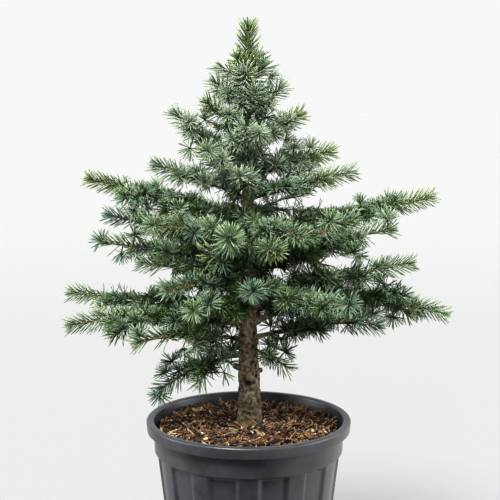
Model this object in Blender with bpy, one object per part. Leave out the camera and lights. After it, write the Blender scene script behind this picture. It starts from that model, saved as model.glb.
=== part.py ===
"""A young blue atlas cedar in a dark ribbed nursery pot.

The frame is +Z up, in metres. The origin is the middle of the pot's flat underside, and -Y is the front.
The trunk stands on the bark mulch and runs whole up through the crown to the foot of its leading shoot.
Each bough is a tapering limb with a mass of foliage on its end. The thinner boughs are foliage from the
trunk on. A mass is one stem with side twigs by a seeded rule, and sprays of needles stand out of them all.
"""

import math
import random
from collections import namedtuple

import bmesh
import bpy
import numpy as np
from mathutils import Matrix, Vector

# The pot, a moulded container of about 13 litres
POT_HEIGHT = 0.285
POT_TOP_RADIUS = 0.160
POT_BASE_RADIUS = 0.1155
POT_WALL = 0.003
POT_FLOOR = 0.004
LIP_HEIGHT = 0.0177
LIP_WIDTH = 0.0120
LIP_ROUND = 0.0035
BAND_HEIGHT = 0.0325
BAND_RADIUS = 0.1475
FLUTED_TOP_RADIUS = 0.1435
FLUTE_COUNT = 12
FLUTE_DEPTH = 0.0035
RIB_HALF_ANGLE = math.radians(5.5)
RIB_FOOT_ANGLE = math.radians(7.9)
FLUTE_SHOULDER = 0.007
FLUTE_SHOULDER_DEPTH = 0.35
SHOULDER_STEP = 0.0012
BAND_EDGE = 0.0015
BAND_EDGE_HEIGHT = 0.0030
FOOT_ROUND = 0.004
DRAIN_COUNT = 8
DRAIN_RADIUS = 0.008
DRAIN_CIRCLE = 0.085
DRAIN_SIDES = 8

# The mulch, filled to a finger's width below the lip and heaped to the trunk
SOIL_EDGE_DROP = 0.020
SOIL_FLAT_RADIUS = 0.030
SOIL_COLUMNS = 24
FOOT_Z = 0.276
# Rings of the heap between the edge and the trunk: radius, height above the edge, and how lumpy it is there
HEAP_RINGS = ((0.112, 0.0035, 0.0022), (0.080, 0.0055, 0.0022), (0.052, 0.0075, 0.0018))

# The trunk, by height above the mulch
TREE_HEIGHT = 0.607
TRUNK_HEIGHT = 0.522
FOOT_RADIUS = 0.0183
TIP_RADIUS = 0.0010
TAPER_POWER = 1.05
FLARE = 0.0030
FLARE_HEIGHT = 0.016
FLARE_LOBES = 5
FLARE_LOBE_DEPTH = 0.4
FLARE_TURN = 0.7
SWAY = 0.0018
SWAY_LENGTH = 0.38
SWAY_FADE = 0.6
CROOK = -0.0040
CROOK_HEIGHT = 0.353
CROOK_SPAN = 0.028
TRUNK_SIDES = 12
TRUNK_RINGS = (0.0, 0.008, 0.020, 0.045, 0.090, 0.140, 0.190, 0.240, 0.280)
TRUNK_RINGS += (0.315, 0.334, 0.353, 0.372, 0.391, 0.430, 0.475, TRUNK_HEIGHT)
# Stubs of pruned shoots: height above the mulch, bearing in degrees, length and radius
STUBS = (
    (0.089, 183, 0.0060, 0.0034),
    (0.082, 355, 0.0055, 0.0034),
    (0.067, 262, 0.0026, 0.0062),
    (0.120, 60, 0.0050, 0.0030),
)
STUB_RISE = 0.25
STUB_SPREAD = 1.25
STUB_ROOT_SHARE = 0.5

# The limbs
LIMB_SIDES = 6
LIMB_RINGS = 5
LIMB_THICKNESS = 0.0016
LIMB_THICKNESS_PER_REACH = 0.0115
LIMB_COLLAR = 1.35
LIMB_COLLAR_SHARE = 0.12
LIMB_WIDE_SHARE = 0.2
LIMB_TAPER = 0.68
LIMB_BARE_LEAST = 0.012
LIMB_BARE_SHARE = 0.09
WEAVE = 0.022
WEAVE_TURN = 0.7

# The foliage
NEEDLE = 0.021
NEEDLE_LEAST = 0.88
NEEDLE_SPREAD = 0.16
NEEDLE_ANGLE = math.radians(56)
TIP_NEEDLE_ANGLE = math.radians(34)
NEEDLE_LEAN_LEAST = 0.9
NEEDLE_LEAN_SPREAD = 0.2
NEEDLE_TURN = math.radians(34)
END_NEEDLE = 0.85
SPRAY_PROBES = (0.5, 0.8, 1.0)
TIP_STEPS = 2
STEM_STEP = 0.0165
TWIG_STEP = 0.0150
TWIG_EVERY = 2
SHORT_STEM_STEPS = 5
TWIG_ANGLE = math.radians(50)
TWIG_ANGLE_LEAST = 0.85
TWIG_ANGLE_SPREAD = 0.3
TWIG_LIFT_LEAST = math.radians(-24)
TWIG_LIFT_MOST = math.radians(13)
TWIG_CURL = 0.03
TWIG_LEAST = 0.028
TWIG_MOST = 0.066
TWIG_SHARE = 0.48
TWIG_SHARE_LEAST = 0.8
TWIG_SHARE_SPREAD = 0.4
TWIG_SIDES = 3
TWIG_RADIUS = 0.0017
TWIG_RADIUS_SHARE = 0.8
TWIG_TIP_RADIUS = 0.0009
STEM_TIP_RADIUS = 0.0010
STEM_SHARE = 0.96
DIRECT_STEM_SHARE = 0.80
LEADER_STEM_SHARE = 0.95
AXIS_POINTS = 40
AXIS_SAMPLE = 0.005

# Clearances
GAP = 0.0003
SLIDE_STEP = 0.00005
SPACE_MARGIN = 0.0022
LIMB_MARGIN = 0.0022
SEED = 41
SEED_STEP = 100

# Plain colours, in linear light
PLASTIC_COLOUR = (0.045, 0.047, 0.050)
MULCH_COLOUR = (0.120, 0.055, 0.025)
BARK_COLOUR = (0.160, 0.115, 0.070)
NEEDLE_COLOUR = (0.130, 0.235, 0.180)

Bough = namedtuple("Bough", "name root_height tip_height reach bearing arch limb")
# Heights are above the mulch, reach is from the trunk's axis to the tip of the wood, and the bearing is in
# degrees from +X towards +Y, so 270 is the front. The arch is how far the middle stands above the chord.
BOUGHS = (
    Bough("hem_left", 0.109, 0.065, 0.138, 197, 0.012, True),
    Bough("hem_right", 0.117, 0.098, 0.066, 330, 0.006, False),
    Bough("low_left_front", 0.128, 0.150, 0.186, 213, 0.014, True),
    Bough("low_left", 0.158, 0.166, 0.266, 189, 0.010, True),
    Bough("low_left_rear", 0.186, 0.196, 0.282, 169, 0.000, True),
    Bough("low_right_front", 0.132, 0.166, 0.199, 345, 0.012, True),
    Bough("low_right", 0.158, 0.171, 0.304, 4, 0.028, True),
    Bough("low_front_right", 0.184, 0.214, 0.213, 310, 0.006, True),
    Bough("low_front_left", 0.178, 0.205, 0.150, 239, 0.006, False),
    Bough("low_front", 0.200, 0.234, 0.160, 274, 0.004, False),
    Bough("low_rear_right", 0.172, 0.186, 0.228, 48, 0.004, False),
    Bough("low_rear_left", 0.150, 0.172, 0.228, 130, 0.004, False),
    Bough("low_rear", 0.196, 0.210, 0.205, 92, 0.004, False),
    Bough("mid_right", 0.206, 0.259, 0.242, 350, 0.000, True),
    Bough("mid_right_high", 0.258, 0.311, 0.214, 346, 0.000, False),
    Bough("mid_left", 0.248, 0.290, 0.213, 192, 0.004, True),
    Bough("mid_left_low", 0.226, 0.262, 0.165, 203, 0.004, False),
    Bough("mid_left_front", 0.218, 0.232, 0.168, 226, 0.004, False),
    Bough("mid_left_rear", 0.266, 0.321, 0.224, 164, 0.004, False),
    Bough("mid_front", 0.246, 0.314, 0.178, 261, 0.004, True),
    Bough("mid_front_right", 0.258, 0.333, 0.196, 317, 0.000, False),
    Bough("mid_front_low", 0.264, 0.290, 0.140, 287, 0.000, False),
    Bough("mid_rear_right", 0.236, 0.268, 0.204, 33, 0.004, False),
    Bough("mid_rear", 0.262, 0.296, 0.172, 74, 0.004, False),
    Bough("mid_rear_left", 0.232, 0.262, 0.200, 143, 0.004, False),
    Bough("high_left", 0.302, 0.382, 0.236, 180, 0.006, True),
    Bough("high_right", 0.290, 0.350, 0.284, 9, 0.002, True),
    Bough("high_left_front", 0.292, 0.320, 0.164, 213, 0.004, False),
    Bough("high_front_right", 0.302, 0.309, 0.146, 303, 0.004, False),
    Bough("high_rear_left", 0.304, 0.334, 0.150, 118, 0.002, False),
    Bough("upper_left", 0.354, 0.405, 0.135, 190, 0.002, False),
    Bough("upper_left_high", 0.384, 0.480, 0.110, 172, 0.000, False),
    Bough("upper_front_left", 0.344, 0.426, 0.090, 229, 0.000, False),
    Bough("upper_right", 0.350, 0.394, 0.154, 354, 0.002, False),
    Bough("upper_right_rear", 0.386, 0.423, 0.125, 14, 0.002, False),
    Bough("upper_rear_right", 0.326, 0.354, 0.140, 52, 0.002, False),
    Bough("upper_rear_left", 0.390, 0.434, 0.098, 122, 0.000, False),
    Bough("top_left", 0.444, 0.496, 0.064, 201, 0.000, False),
    Bough("top_right", 0.440, 0.478, 0.074, 348, 0.000, False),
    Bough("top_front", 0.414, 0.462, 0.070, 266, 0.000, False),
    Bough("top_rear", 0.434, 0.474, 0.068, 80, 0.000, False),
    Bough("crest_left", 0.486, 0.528, 0.049, 170, 0.000, False),
    Bough("crest_right", 0.478, 0.520, 0.048, 8, 0.000, False),
    Bough("crest_front", 0.470, 0.514, 0.040, 285, 0.000, False),
)
# Twigs of the leading shoot: height on it, bearing, length and rise in degrees
LEADER_TWIGS = (
    (0.005, 184, 0.044, 30),
    (0.005, 352, 0.032, 46),
    (0.004, 262, 0.034, 24),
    (0.004, 92, 0.034, 24),
    (0.020, 222, 0.028, 44),
    (0.022, 40, 0.026, 46),
)


def remove_objects():
    for item in list(bpy.data.objects):
        bpy.data.objects.remove(item, do_unlink=True)


def plain_material(name, colour, roughness):
    material = bpy.data.materials.new(name)
    material.use_nodes = True
    shader = material.node_tree.nodes["Principled BSDF"]
    shader.inputs["Base Color"].default_value = (*colour, 1.0)
    shader.inputs["Roughness"].default_value = roughness
    shader.inputs["Metallic"].default_value = 0.0
    return material


def add_object(name, vertices, faces, material=None):
    mesh = bpy.data.meshes.new(name)
    mesh.from_pydata([tuple(v) for v in vertices], [], faces)
    mesh.update()
    item = bpy.data.objects.new(name, mesh)
    bpy.context.scene.collection.objects.link(item)
    if material is not None:
        mesh.materials.append(material)
    return item


def bridge(faces, lower, upper, columns):
    """Joins two rings of vertices, given by their first index, with quads that face out of a column."""
    for i in range(columns):
        j = (i + 1) % columns
        faces.append((lower + i, lower + j, upper + j, upper + i))


def apply_modifiers(item):
    """Replaces an object's mesh by its evaluated one and removes the modifiers."""
    graph = bpy.context.evaluated_depsgraph_get()
    graph.update()
    result = bpy.data.meshes.new_from_object(item.evaluated_get(graph))
    item.modifiers.clear()
    item.data = result


# The pot


def flute_columns():
    """Angles round the pot, with how far each stands in from the ribs: 0 on a rib and 1 between two."""
    period = 2 * math.pi / FLUTE_COUNT
    columns = []
    for k in range(FLUTE_COUNT):
        middle = k * period - math.pi / 2
        for offset, inset in (
            (-RIB_FOOT_ANGLE, 1.0),
            (-RIB_HALF_ANGLE, 0.0),
            (0.0, 0.0),
            (RIB_HALF_ANGLE, 0.0),
            (RIB_FOOT_ANGLE, 1.0),
            (period / 2, 1.0),
        ):
            columns.append((middle + offset, inset))
    return columns


def pot_outer_radius(z):
    """Radius of the ribs at a height."""
    top = POT_HEIGHT - LIP_HEIGHT - BAND_HEIGHT
    return POT_BASE_RADIUS + (FLUTED_TOP_RADIUS - POT_BASE_RADIUS) * z / top


def pot_inner_radius(z):
    """Radius of the smooth inside at a height."""
    top_radius = POT_TOP_RADIUS - LIP_WIDTH
    lip_foot = POT_HEIGHT - LIP_HEIGHT - BAND_HEIGHT
    if z < lip_foot:
        return pot_outer_radius(z) - FLUTE_DEPTH - POT_WALL
    share = (z - lip_foot) / (POT_HEIGHT - lip_foot)
    start = pot_outer_radius(lip_foot) - FLUTE_DEPTH - POT_WALL
    return start + (top_radius - start) * share


def make_pot(material):
    columns = flute_columns()
    count = len(columns)
    band_foot = POT_HEIGHT - LIP_HEIGHT - BAND_HEIGHT
    lip_foot = POT_HEIGHT - LIP_HEIGHT
    inner_lip = POT_TOP_RADIUS - LIP_WIDTH
    # Each ring is a radius, a height and how deep the flutes are there
    rings = [
        (POT_BASE_RADIUS - FOOT_ROUND - FLUTE_DEPTH, 0.0, 0.0),
        (pot_outer_radius(FOOT_ROUND), FOOT_ROUND, 1.0),
        (pot_outer_radius(band_foot - FLUTE_SHOULDER), band_foot - FLUTE_SHOULDER, 1.0),
        (pot_outer_radius(band_foot) + SHOULDER_STEP, band_foot - SHOULDER_STEP, FLUTE_SHOULDER_DEPTH),
        (BAND_RADIUS - BAND_EDGE, band_foot, 0.0),
        (BAND_RADIUS, band_foot + BAND_EDGE_HEIGHT, 0.0),
        (BAND_RADIUS + SHOULDER_STEP, lip_foot, 0.0),
        (POT_TOP_RADIUS - SHOULDER_STEP, lip_foot, 0.0),
        (POT_TOP_RADIUS, POT_HEIGHT - LIP_ROUND, 0.0),
        (POT_TOP_RADIUS - LIP_ROUND, POT_HEIGHT, 0.0),
        (inner_lip + LIP_ROUND, POT_HEIGHT, 0.0),
        (inner_lip, POT_HEIGHT - LIP_ROUND, 0.0),
        (pot_inner_radius(band_foot), band_foot, 0.0),
        (pot_inner_radius(POT_FLOOR), POT_FLOOR, 0.0),
    ]
    vertices = []
    faces = []
    for radius, z, depth in rings:
        for angle, inset in columns:
            r = radius - FLUTE_DEPTH * inset * depth
            vertices.append((r * math.cos(angle), r * math.sin(angle), z))
    for k in range(len(rings) - 1):
        bridge(faces, k * count, (k + 1) * count, count)
    faces.append(tuple(reversed(range(count))))
    last = (len(rings) - 1) * count
    faces.append(tuple(range(last, last + count)))
    pot = add_object("pot", vertices, faces, material)
    cut_drains(pot)
    return pot


def cut_drains(pot):
    """Round drain holes through the floor, set back from the wall."""
    shape = bmesh.new()
    for k in range(DRAIN_COUNT):
        angle = (k + 0.5) * 2 * math.pi / DRAIN_COUNT
        middle = Vector((math.cos(angle), math.sin(angle), 0.0)) * DRAIN_CIRCLE
        place = Matrix.Translation(middle + Vector((0.0, 0.0, POT_FLOOR / 2)))
        bmesh.ops.create_cone(
            shape,
            cap_ends=True,
            segments=DRAIN_SIDES,
            radius1=DRAIN_RADIUS,
            radius2=DRAIN_RADIUS,
            depth=POT_FLOOR * 4,
            matrix=place,
        )
    mesh = bpy.data.meshes.new("drain_cutter")
    shape.to_mesh(mesh)
    shape.free()
    cutter = bpy.data.objects.new("drain_cutter", mesh)
    bpy.context.scene.collection.objects.link(cutter)
    cut = pot.modifiers.new("drains", "BOOLEAN")
    cut.operation = "DIFFERENCE"
    cut.solver = "EXACT"
    cut.object = cutter
    apply_modifiers(pot)
    bpy.data.objects.remove(cutter, do_unlink=True)


# The mulch


def make_soil(material):
    """A plug of mulch that fills the pot, with a low heap round the trunk's flat foot."""
    chooser = random.Random(SEED)
    widest_column = math.pi / FLUTE_COUNT - RIB_FOOT_ANGLE
    flat_side = math.cos(widest_column / 2)
    edge_z = POT_HEIGHT - SOIL_EDGE_DROP
    floor_z = POT_FLOOR + GAP
    band_foot = POT_HEIGHT - LIP_HEIGHT - BAND_HEIGHT
    heap_top = FOOT_Z - GAP
    rings = [(pot_inner_radius(z) * flat_side - GAP, z, 0.0) for z in (floor_z, band_foot, edge_z)]
    rings += [(radius, edge_z + rise, lump) for radius, rise, lump in HEAP_RINGS]
    rings.append((SOIL_FLAT_RADIUS, heap_top, 0.0))
    vertices = []
    faces = []
    for radius, z, lump in rings:
        for i in range(SOIL_COLUMNS):
            angle = 2 * math.pi * i / SOIL_COLUMNS
            rise = lump * (2 * chooser.random() - 1)
            vertices.append((radius * math.cos(angle), radius * math.sin(angle), z + rise))
    for k in range(len(rings) - 1):
        bridge(faces, k * SOIL_COLUMNS, (k + 1) * SOIL_COLUMNS, SOIL_COLUMNS)
    faces.append(tuple(reversed(range(SOIL_COLUMNS))))
    last = (len(rings) - 1) * SOIL_COLUMNS
    faces.append(tuple(range(last, last + SOIL_COLUMNS)))
    return add_object("soil", vertices, faces, material)


# The trunk


def ring_centre(height):
    """Middle of a trunk ring at a height above the mulch: a slow sway, and a crook at the upper whorl."""
    turn = 2 * math.pi * height / SWAY_LENGTH
    crook = CROOK * math.exp(-(((height - CROOK_HEIGHT) / CROOK_SPAN) ** 2))
    fade = 1 - SWAY_FADE * height / TREE_HEIGHT
    return Vector((SWAY * math.cos(turn) * fade + crook, SWAY * math.sin(turn) * fade, FOOT_Z + height))


def ring_radius(height):
    share = max(0.0, 1 - height / TREE_HEIGHT)
    return TIP_RADIUS + (FOOT_RADIUS - TIP_RADIUS) * share**TAPER_POWER


def between_rings(height):
    """The two trunk rings that a height lies between, and its share of the way from the lower one."""
    for low, high in zip(TRUNK_RINGS, TRUNK_RINGS[1:]):
        if height <= high:
            return low, high, (height - low) / (high - low)
    return TRUNK_RINGS[-2], TRUNK_RINGS[-1], 1.0


def trunk_centre(height):
    """Middle of the trunk at a height, straight from ring to ring as its surface is."""
    if height > TRUNK_HEIGHT:
        return ring_centre(height)
    low, high, share = between_rings(height)
    return ring_centre(low).lerp(ring_centre(high), share)


def trunk_radius(height):
    low, high, share = between_rings(height)
    return ring_radius(low) + (ring_radius(high) - ring_radius(low)) * share


def flared_radius(height, angle):
    lobes = 1 - FLARE_LOBE_DEPTH + FLARE_LOBE_DEPTH * math.cos(FLARE_LOBES * angle + FLARE_TURN)
    return ring_radius(height) + FLARE * lobes * math.exp(-height / FLARE_HEIGHT)


def make_trunk(material):
    vertices = []
    faces = []
    for height in TRUNK_RINGS:
        centre = ring_centre(height)
        for i in range(TRUNK_SIDES):
            angle = 2 * math.pi * i / TRUNK_SIDES
            r = flared_radius(height, angle)
            vertices.append(centre + Vector((r * math.cos(angle), r * math.sin(angle), 0.0)))
    for k in range(len(TRUNK_RINGS) - 1):
        bridge(faces, k * TRUNK_SIDES, (k + 1) * TRUNK_SIDES, TRUNK_SIDES)
    faces.append(tuple(reversed(range(TRUNK_SIDES))))
    last = (len(TRUNK_RINGS) - 1) * TRUNK_SIDES
    faces.append(tuple(range(last, last + TRUNK_SIDES)))
    trunk = add_object("trunk", vertices, faces, material)
    stubs = []
    for height, bearing, length, radius in STUBS:
        turn = math.radians(bearing)
        out = Vector((math.cos(turn), math.sin(turn), STUB_RISE)).normalized()
        start = trunk_centre(height) + out * trunk_radius(height) * STUB_ROOT_SHARE
        end = trunk_centre(height) + out * (trunk_radius(height) + length)
        stubs.append(tube("stub", [start, end], [radius * STUB_SPREAD, radius], LIMB_SIDES))
    join_parts(trunk, stubs)
    return trunk


# Limbs and foliage


def bough_axis(bough):
    """Points from the trunk's middle to the tip of the wood, evenly spaced along a low arch."""
    bearing = math.radians(bough.bearing)
    out = Vector((math.cos(bearing), math.sin(bearing), 0.0))
    side = Vector((-out.y, out.x, 0.0))
    root = trunk_centre(bough.root_height)
    weave = bough.reach * WEAVE
    phase = bough.bearing * WEAVE_TURN
    points = []
    for k in range(AXIS_POINTS + 1):
        s = k / AXIS_POINTS
        rise = (bough.tip_height - bough.root_height) * s + bough.arch * 4 * s * (1 - s)
        sway = weave * (math.sin(2 * math.pi * s + phase) - math.sin(phase) * (1 - s)) * s
        points.append(root + out * bough.reach * s + side * sway + Vector((0, 0, rise)))
    return points


def along(points, distance):
    """Place and direction at a distance along a line of points."""
    left = distance
    for a, b in zip(points, points[1:]):
        length = (b - a).length
        if left <= length:
            return a + (b - a) * (left / length), (b - a).normalized()
        left -= length
    last = (points[-1] - points[-2]).normalized()
    return points[-1] + last * left, last


def length_of(points):
    return sum((b - a).length for a, b in zip(points, points[1:]))


def distance_off_trunk(point):
    """How far a point is from the trunk's bark, with the flare counted in."""
    height = point.z - FOOT_Z
    if height > TRUNK_HEIGHT:
        return (point - trunk_centre(TRUNK_HEIGHT)).length - trunk_radius(TRUNK_HEIGHT)
    centre = trunk_centre(max(0.0, height))
    flat = math.hypot(point.x - centre.x, point.y - centre.y)
    return flat - trunk_radius(max(0.0, height))


def bark_distance(axis, radius=0.0):
    """Distance along an axis to where a stem can start with no edge of its foot in the bark."""
    distance = 0.0
    clear = foot_clearance(axis[0], radius)
    while distance_off_trunk(along(axis, distance)[0]) < clear:
        distance += SLIDE_STEP
    return distance


def foot_clearance(place, radius):
    """GAP, and the depth of the round trunk under a straight edge as long as the foot's radius."""
    return GAP + radius**2 / (8 * trunk_radius(place.z - FOOT_Z))


def limb_length(bough, axis):
    """Where a bough's bare limb ends, measured along its axis. A bough without one has none."""
    if not bough.limb:
        return 0.0
    return bark_distance(axis, limb_radius(bough, 0.0)) + LIMB_BARE_LEAST + LIMB_BARE_SHARE * bough.reach


def limb_radius(bough, share):
    thick = LIMB_THICKNESS + LIMB_THICKNESS_PER_REACH * bough.reach
    collar = 1 + (LIMB_COLLAR - 1) * math.exp(-share / LIMB_COLLAR_SHARE)
    return thick * collar * (1 - (1 - LIMB_TAPER) * share)


def cross_axes(direction):
    """Two directions square to a stem: one level to the side and one upwards."""
    side = Vector((0, 0, 1)).cross(direction)
    if side.length < 0.2:
        side = Vector((1, 0, 0)).cross(direction)
    side.normalize()
    return side, direction.cross(side).normalized()


def ring(place, direction, radius, sides, turn=0.0):
    side, up = cross_axes(direction)
    corners = []
    for i in range(sides):
        angle = turn + 2 * math.pi * i / sides
        corners.append(place + (side * math.cos(angle) + up * math.sin(angle)) * radius)
    return corners


def tube(name, points, radii, sides, material=None):
    """A closed tube through points, with a flat cap at both ends."""
    vertices = []
    faces = []
    for k, place in enumerate(points):
        ahead = points[min(k + 1, len(points) - 1)] - points[max(k - 1, 0)]
        vertices += ring(place, ahead.normalized(), radii[k], sides)
    for k in range(len(points) - 1):
        bridge(faces, k * sides, (k + 1) * sides, sides)
    faces.append(tuple(reversed(range(sides))))
    last = (len(points) - 1) * sides
    faces.append(tuple(range(last, last + sides)))
    return add_object(name, vertices, faces, material)


def join_parts(base, parts):
    """One Boolean union of a base with a collection of parts, applied, and the parts removed."""
    group = bpy.data.collections.new(base.name + "_parts")
    bpy.context.scene.collection.children.link(group)
    for part in parts:
        bpy.context.scene.collection.objects.unlink(part)
        group.objects.link(part)
    union = base.modifiers.new("union", "BOOLEAN")
    union.operation = "UNION"
    union.operand_type = "COLLECTION"
    union.solver = "EXACT"
    union.collection = group
    apply_modifiers(base)
    for part in list(group.objects):
        bpy.data.objects.remove(part, do_unlink=True)
    bpy.data.collections.remove(group)
    keep_largest_shell(base)


def keep_largest_shell(item):
    """Drops loose scraps, and the shells of sealed hollows, which fills them."""
    shape = bmesh.new()
    shape.from_mesh(item.data)
    bmesh.ops.triangulate(shape, faces=shape.faces[:])
    left = set(shape.faces)
    shells = []
    while left:
        start = left.pop()
        shell = [start]
        waiting = [start]
        while waiting:
            face = waiting.pop()
            for edge in face.edges:
                for other in edge.link_faces:
                    if other in left:
                        left.discard(other)
                        shell.append(other)
                        waiting.append(other)
        shells.append(shell)

    def volume(shell):
        total = 0.0
        for face in shell:
            a, b, c = (v.co for v in face.verts)
            total += a.dot(b.cross(c)) / 6
        return total

    shells.sort(key=volume, reverse=True)
    extra = [face for shell in shells[1:] for face in shell]
    bmesh.ops.delete(shape, geom=extra, context="FACES")
    shape.to_mesh(item.data)
    shape.free()


def make_limb(bough, axis, material):
    """A tapering limb whose root follows the bark, a hair clear of it, and whose end is cut square."""
    foot_radius = limb_radius(bough, 0.0)
    start = bark_distance(axis, foot_radius)
    end = limb_length(bough, axis)
    vertices = []
    faces = []
    for k in range(LIMB_RINGS):
        share = k / (LIMB_RINGS - 1)
        place, ahead = along(axis, start + (end - start) * share)
        corners = ring(place, ahead, limb_radius(bough, share), LIMB_SIDES)
        if k == 0:
            clear = foot_clearance(axis[0], foot_radius)
            corners = [slide_to_bark(corner, ahead, clear) for corner in corners]
        vertices += corners
    for k in range(LIMB_RINGS - 1):
        bridge(faces, k * LIMB_SIDES, (k + 1) * LIMB_SIDES, LIMB_SIDES)
    middle = len(vertices)
    vertices.append(along(axis, start)[0])
    for i in range(LIMB_SIDES):
        faces.append((middle, (i + 1) % LIMB_SIDES, i))
    last = (LIMB_RINGS - 1) * LIMB_SIDES
    faces.append(tuple(range(last, last + LIMB_SIDES)))
    return add_object("bough_" + bough.name, vertices, faces, material)


def slide_to_bark(point, direction, clear):
    """Moves a point along a limb until it is just clear of the bark."""
    while distance_off_trunk(point) > clear:
        point = point - direction * SLIDE_STEP
    while distance_off_trunk(point) < clear:
        point = point + direction * SLIDE_STEP
    return point


def samples(points, step):
    """Places along a line of points, as an array, a step or less apart."""
    count = max(2, int(length_of(points) / step) + 1)
    total = length_of(points)
    return np.array([along(points, total * k / (count - 1))[0] for k in range(count)])


def nearest(points, places):
    """For each point, the distance to the nearest of some places."""
    gaps = points[:, None, :] - places[None, :, :]
    return np.sqrt((gaps**2).sum(axis=2)).min(axis=1)


class Space:
    """The room that one mass may fill: nearer its own axis than any other, clear of trunk and limbs."""

    def __init__(self, name, axes, limbs):
        self.own = axes[name]
        self.others = np.concatenate([places for other, places in axes.items() if other != name])
        self.limbs = [limb for other, limb in limbs.items() if other != name]

    def holds(self, points):
        spots = np.array([tuple(p) for p in points])
        if (nearest(spots, self.others) - nearest(spots, self.own)).min() < 2 * SPACE_MARGIN:
            return False
        if min(distance_off_trunk(p) for p in points) < LIMB_MARGIN:
            return False
        for places, radius in self.limbs:
            if nearest(spots, places).min() < radius + LIMB_MARGIN:
                return False
        return spots[:, 2].min() > POT_HEIGHT + SPACE_MARGIN


def needle_tip(middle, normal, ahead, angle, turn, length):
    """Tip of a spray that leans forward from a face of a twig and is turned a little round it."""
    out = Matrix.Rotation(turn, 3, ahead) @ normal
    return middle + (out * math.sin(angle) + ahead * math.cos(angle)) * length


def grow_twig(name, points, radii, space, chooser, plain_steps, clear=None, material=None):
    """A three-sided twig through points. Sprays of needles stand out of its faces where its space has room.

    A stem that starts at the trunk has its foot fitted to the bark, clear of it by a given distance.
    """
    sides = TWIG_SIDES
    turn = chooser.random() * 2 * math.pi / sides
    vertices = []
    faces = []
    for k, place in enumerate(points):
        ahead = (points[min(k + 1, len(points) - 1)] - points[max(k - 1, 0)]).normalized()
        corners = ring(place, ahead, radii[k], sides, turn)
        if k == 0 and clear is not None:
            corners = [slide_to_bark(corner, ahead, clear) for corner in corners]
        vertices += corners
    steps = len(points) - 1
    for k in range(steps):
        ahead = (points[k + 1] - points[k]).normalized()
        near_tip = k >= steps - TIP_STEPS
        angle = TIP_NEEDLE_ANGLE if near_tip else NEEDLE_ANGLE
        for i in range(sides):
            j = (i + 1) % sides
            corners = (k * sides + i, k * sides + j, (k + 1) * sides + j, (k + 1) * sides + i)
            middle = sum((vertices[c] for c in corners), Vector()) / len(corners)
            axis_middle = (points[k] + points[k + 1]) / 2
            normal = middle - axis_middle
            normal = (normal - ahead * normal.dot(ahead)).normalized()
            lean = angle * (NEEDLE_LEAN_LEAST + NEEDLE_LEAN_SPREAD * chooser.random())
            spin = NEEDLE_TURN * (2 * chooser.random() - 1)
            size = NEEDLE * (NEEDLE_LEAST + NEEDLE_SPREAD * chooser.random())
            tip = needle_tip(middle, normal, ahead, lean, spin, size)
            probes = [middle.lerp(tip, share) for share in SPRAY_PROBES]
            if k < plain_steps or not space.holds(probes):
                faces.append(corners)
                continue
            apex = len(vertices)
            vertices.append(tip)
            for a, b in zip(corners, corners[1:] + corners[:1]):
                faces.append((a, b, apex))
    faces.append(tuple(reversed(range(sides))))
    ahead = (points[-1] - points[-2]).normalized()
    last = steps * sides
    tip = points[-1] + ahead * NEEDLE * END_NEEDLE
    apex = len(vertices)
    if space.holds([points[-1].lerp(tip, share) for share in SPRAY_PROBES]):
        vertices.append(tip)
        for i in range(sides):
            faces.append((last + i, last + (i + 1) % sides, apex))
    else:
        faces.append(tuple(range(last, last + sides)))
    return add_object(name, vertices, faces, material)


def twig_points(start, direction, length, space, step):
    """A side twig that curves up a little and stops where its space ends."""
    count = max(2, round(length / step))
    points = [start]
    heading = direction.copy()
    for _ in range(count):
        heading = (heading + Vector((0, 0, TWIG_CURL))).normalized()
        place = points[-1] + heading * length / count
        if len(points) > 1 and not space.holds([place, points[-1].lerp(place, 0.5)]):
            break
        points.append(place)
    return points


def side_twigs(stem, space, chooser):
    """Twigs left and right of a stem in turn, longer where more of the stem lies ahead."""
    steps = len(stem) - 1
    first_side = 1 if chooser.random() < 0.5 else -1
    found = []
    every = 1 if steps <= SHORT_STEM_STEPS else TWIG_EVERY
    for number, k in enumerate(range(1, steps - 1, every)):
        ahead = (stem[k + 1] - stem[k]).normalized()
        side, up = cross_axes(ahead)
        hand = first_side if number % 2 == 0 else -first_side
        angle = TWIG_ANGLE * (TWIG_ANGLE_LEAST + TWIG_ANGLE_SPREAD * chooser.random())
        lift = TWIG_LIFT_LEAST + (TWIG_LIFT_MOST - TWIG_LIFT_LEAST) * chooser.random()
        level = ahead * math.cos(angle) + side * hand * math.sin(angle)
        direction = (level * math.cos(lift) + up * math.sin(lift)).normalized()
        part = TWIG_SHARE * (TWIG_SHARE_LEAST + TWIG_SHARE_SPREAD * chooser.random())
        length = min(TWIG_MOST, max(TWIG_LEAST, part * length_of(stem[k:])))
        points = twig_points(stem[k], direction, length, space, TWIG_STEP)
        if len(points) > 2:
            found.append(points)
    return found


def twig_radii(points, first, last):
    steps = len(points) - 1
    return [first + (last - first) * k / steps for k in range(steps + 1)]


def make_mass(name, stem, first_radius, space, chooser, twigs, clear, material):
    """One mass: a stem and its side twigs with their needles, joined by one union."""
    radii = twig_radii(stem, first_radius, STEM_TIP_RADIUS)
    mass = grow_twig(name, stem, radii, space, chooser, 0, clear, material)
    parts = []
    for number, points in enumerate(twigs):
        first = min(TWIG_RADIUS, first_radius * TWIG_RADIUS_SHARE)
        radii = twig_radii(points, first, TWIG_TIP_RADIUS)
        parts.append(grow_twig(f"{name}_{number}", points, radii, space, chooser, 1))
    join_parts(mass, parts)


def stem_radius(bough):
    """Radius of a mass's stem at its foot: a little less than the limb that carries it would have."""
    if bough.limb:
        return limb_radius(bough, 1.0) * STEM_SHARE
    return limb_radius(bough, 0.5) * DIRECT_STEM_SHARE


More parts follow.
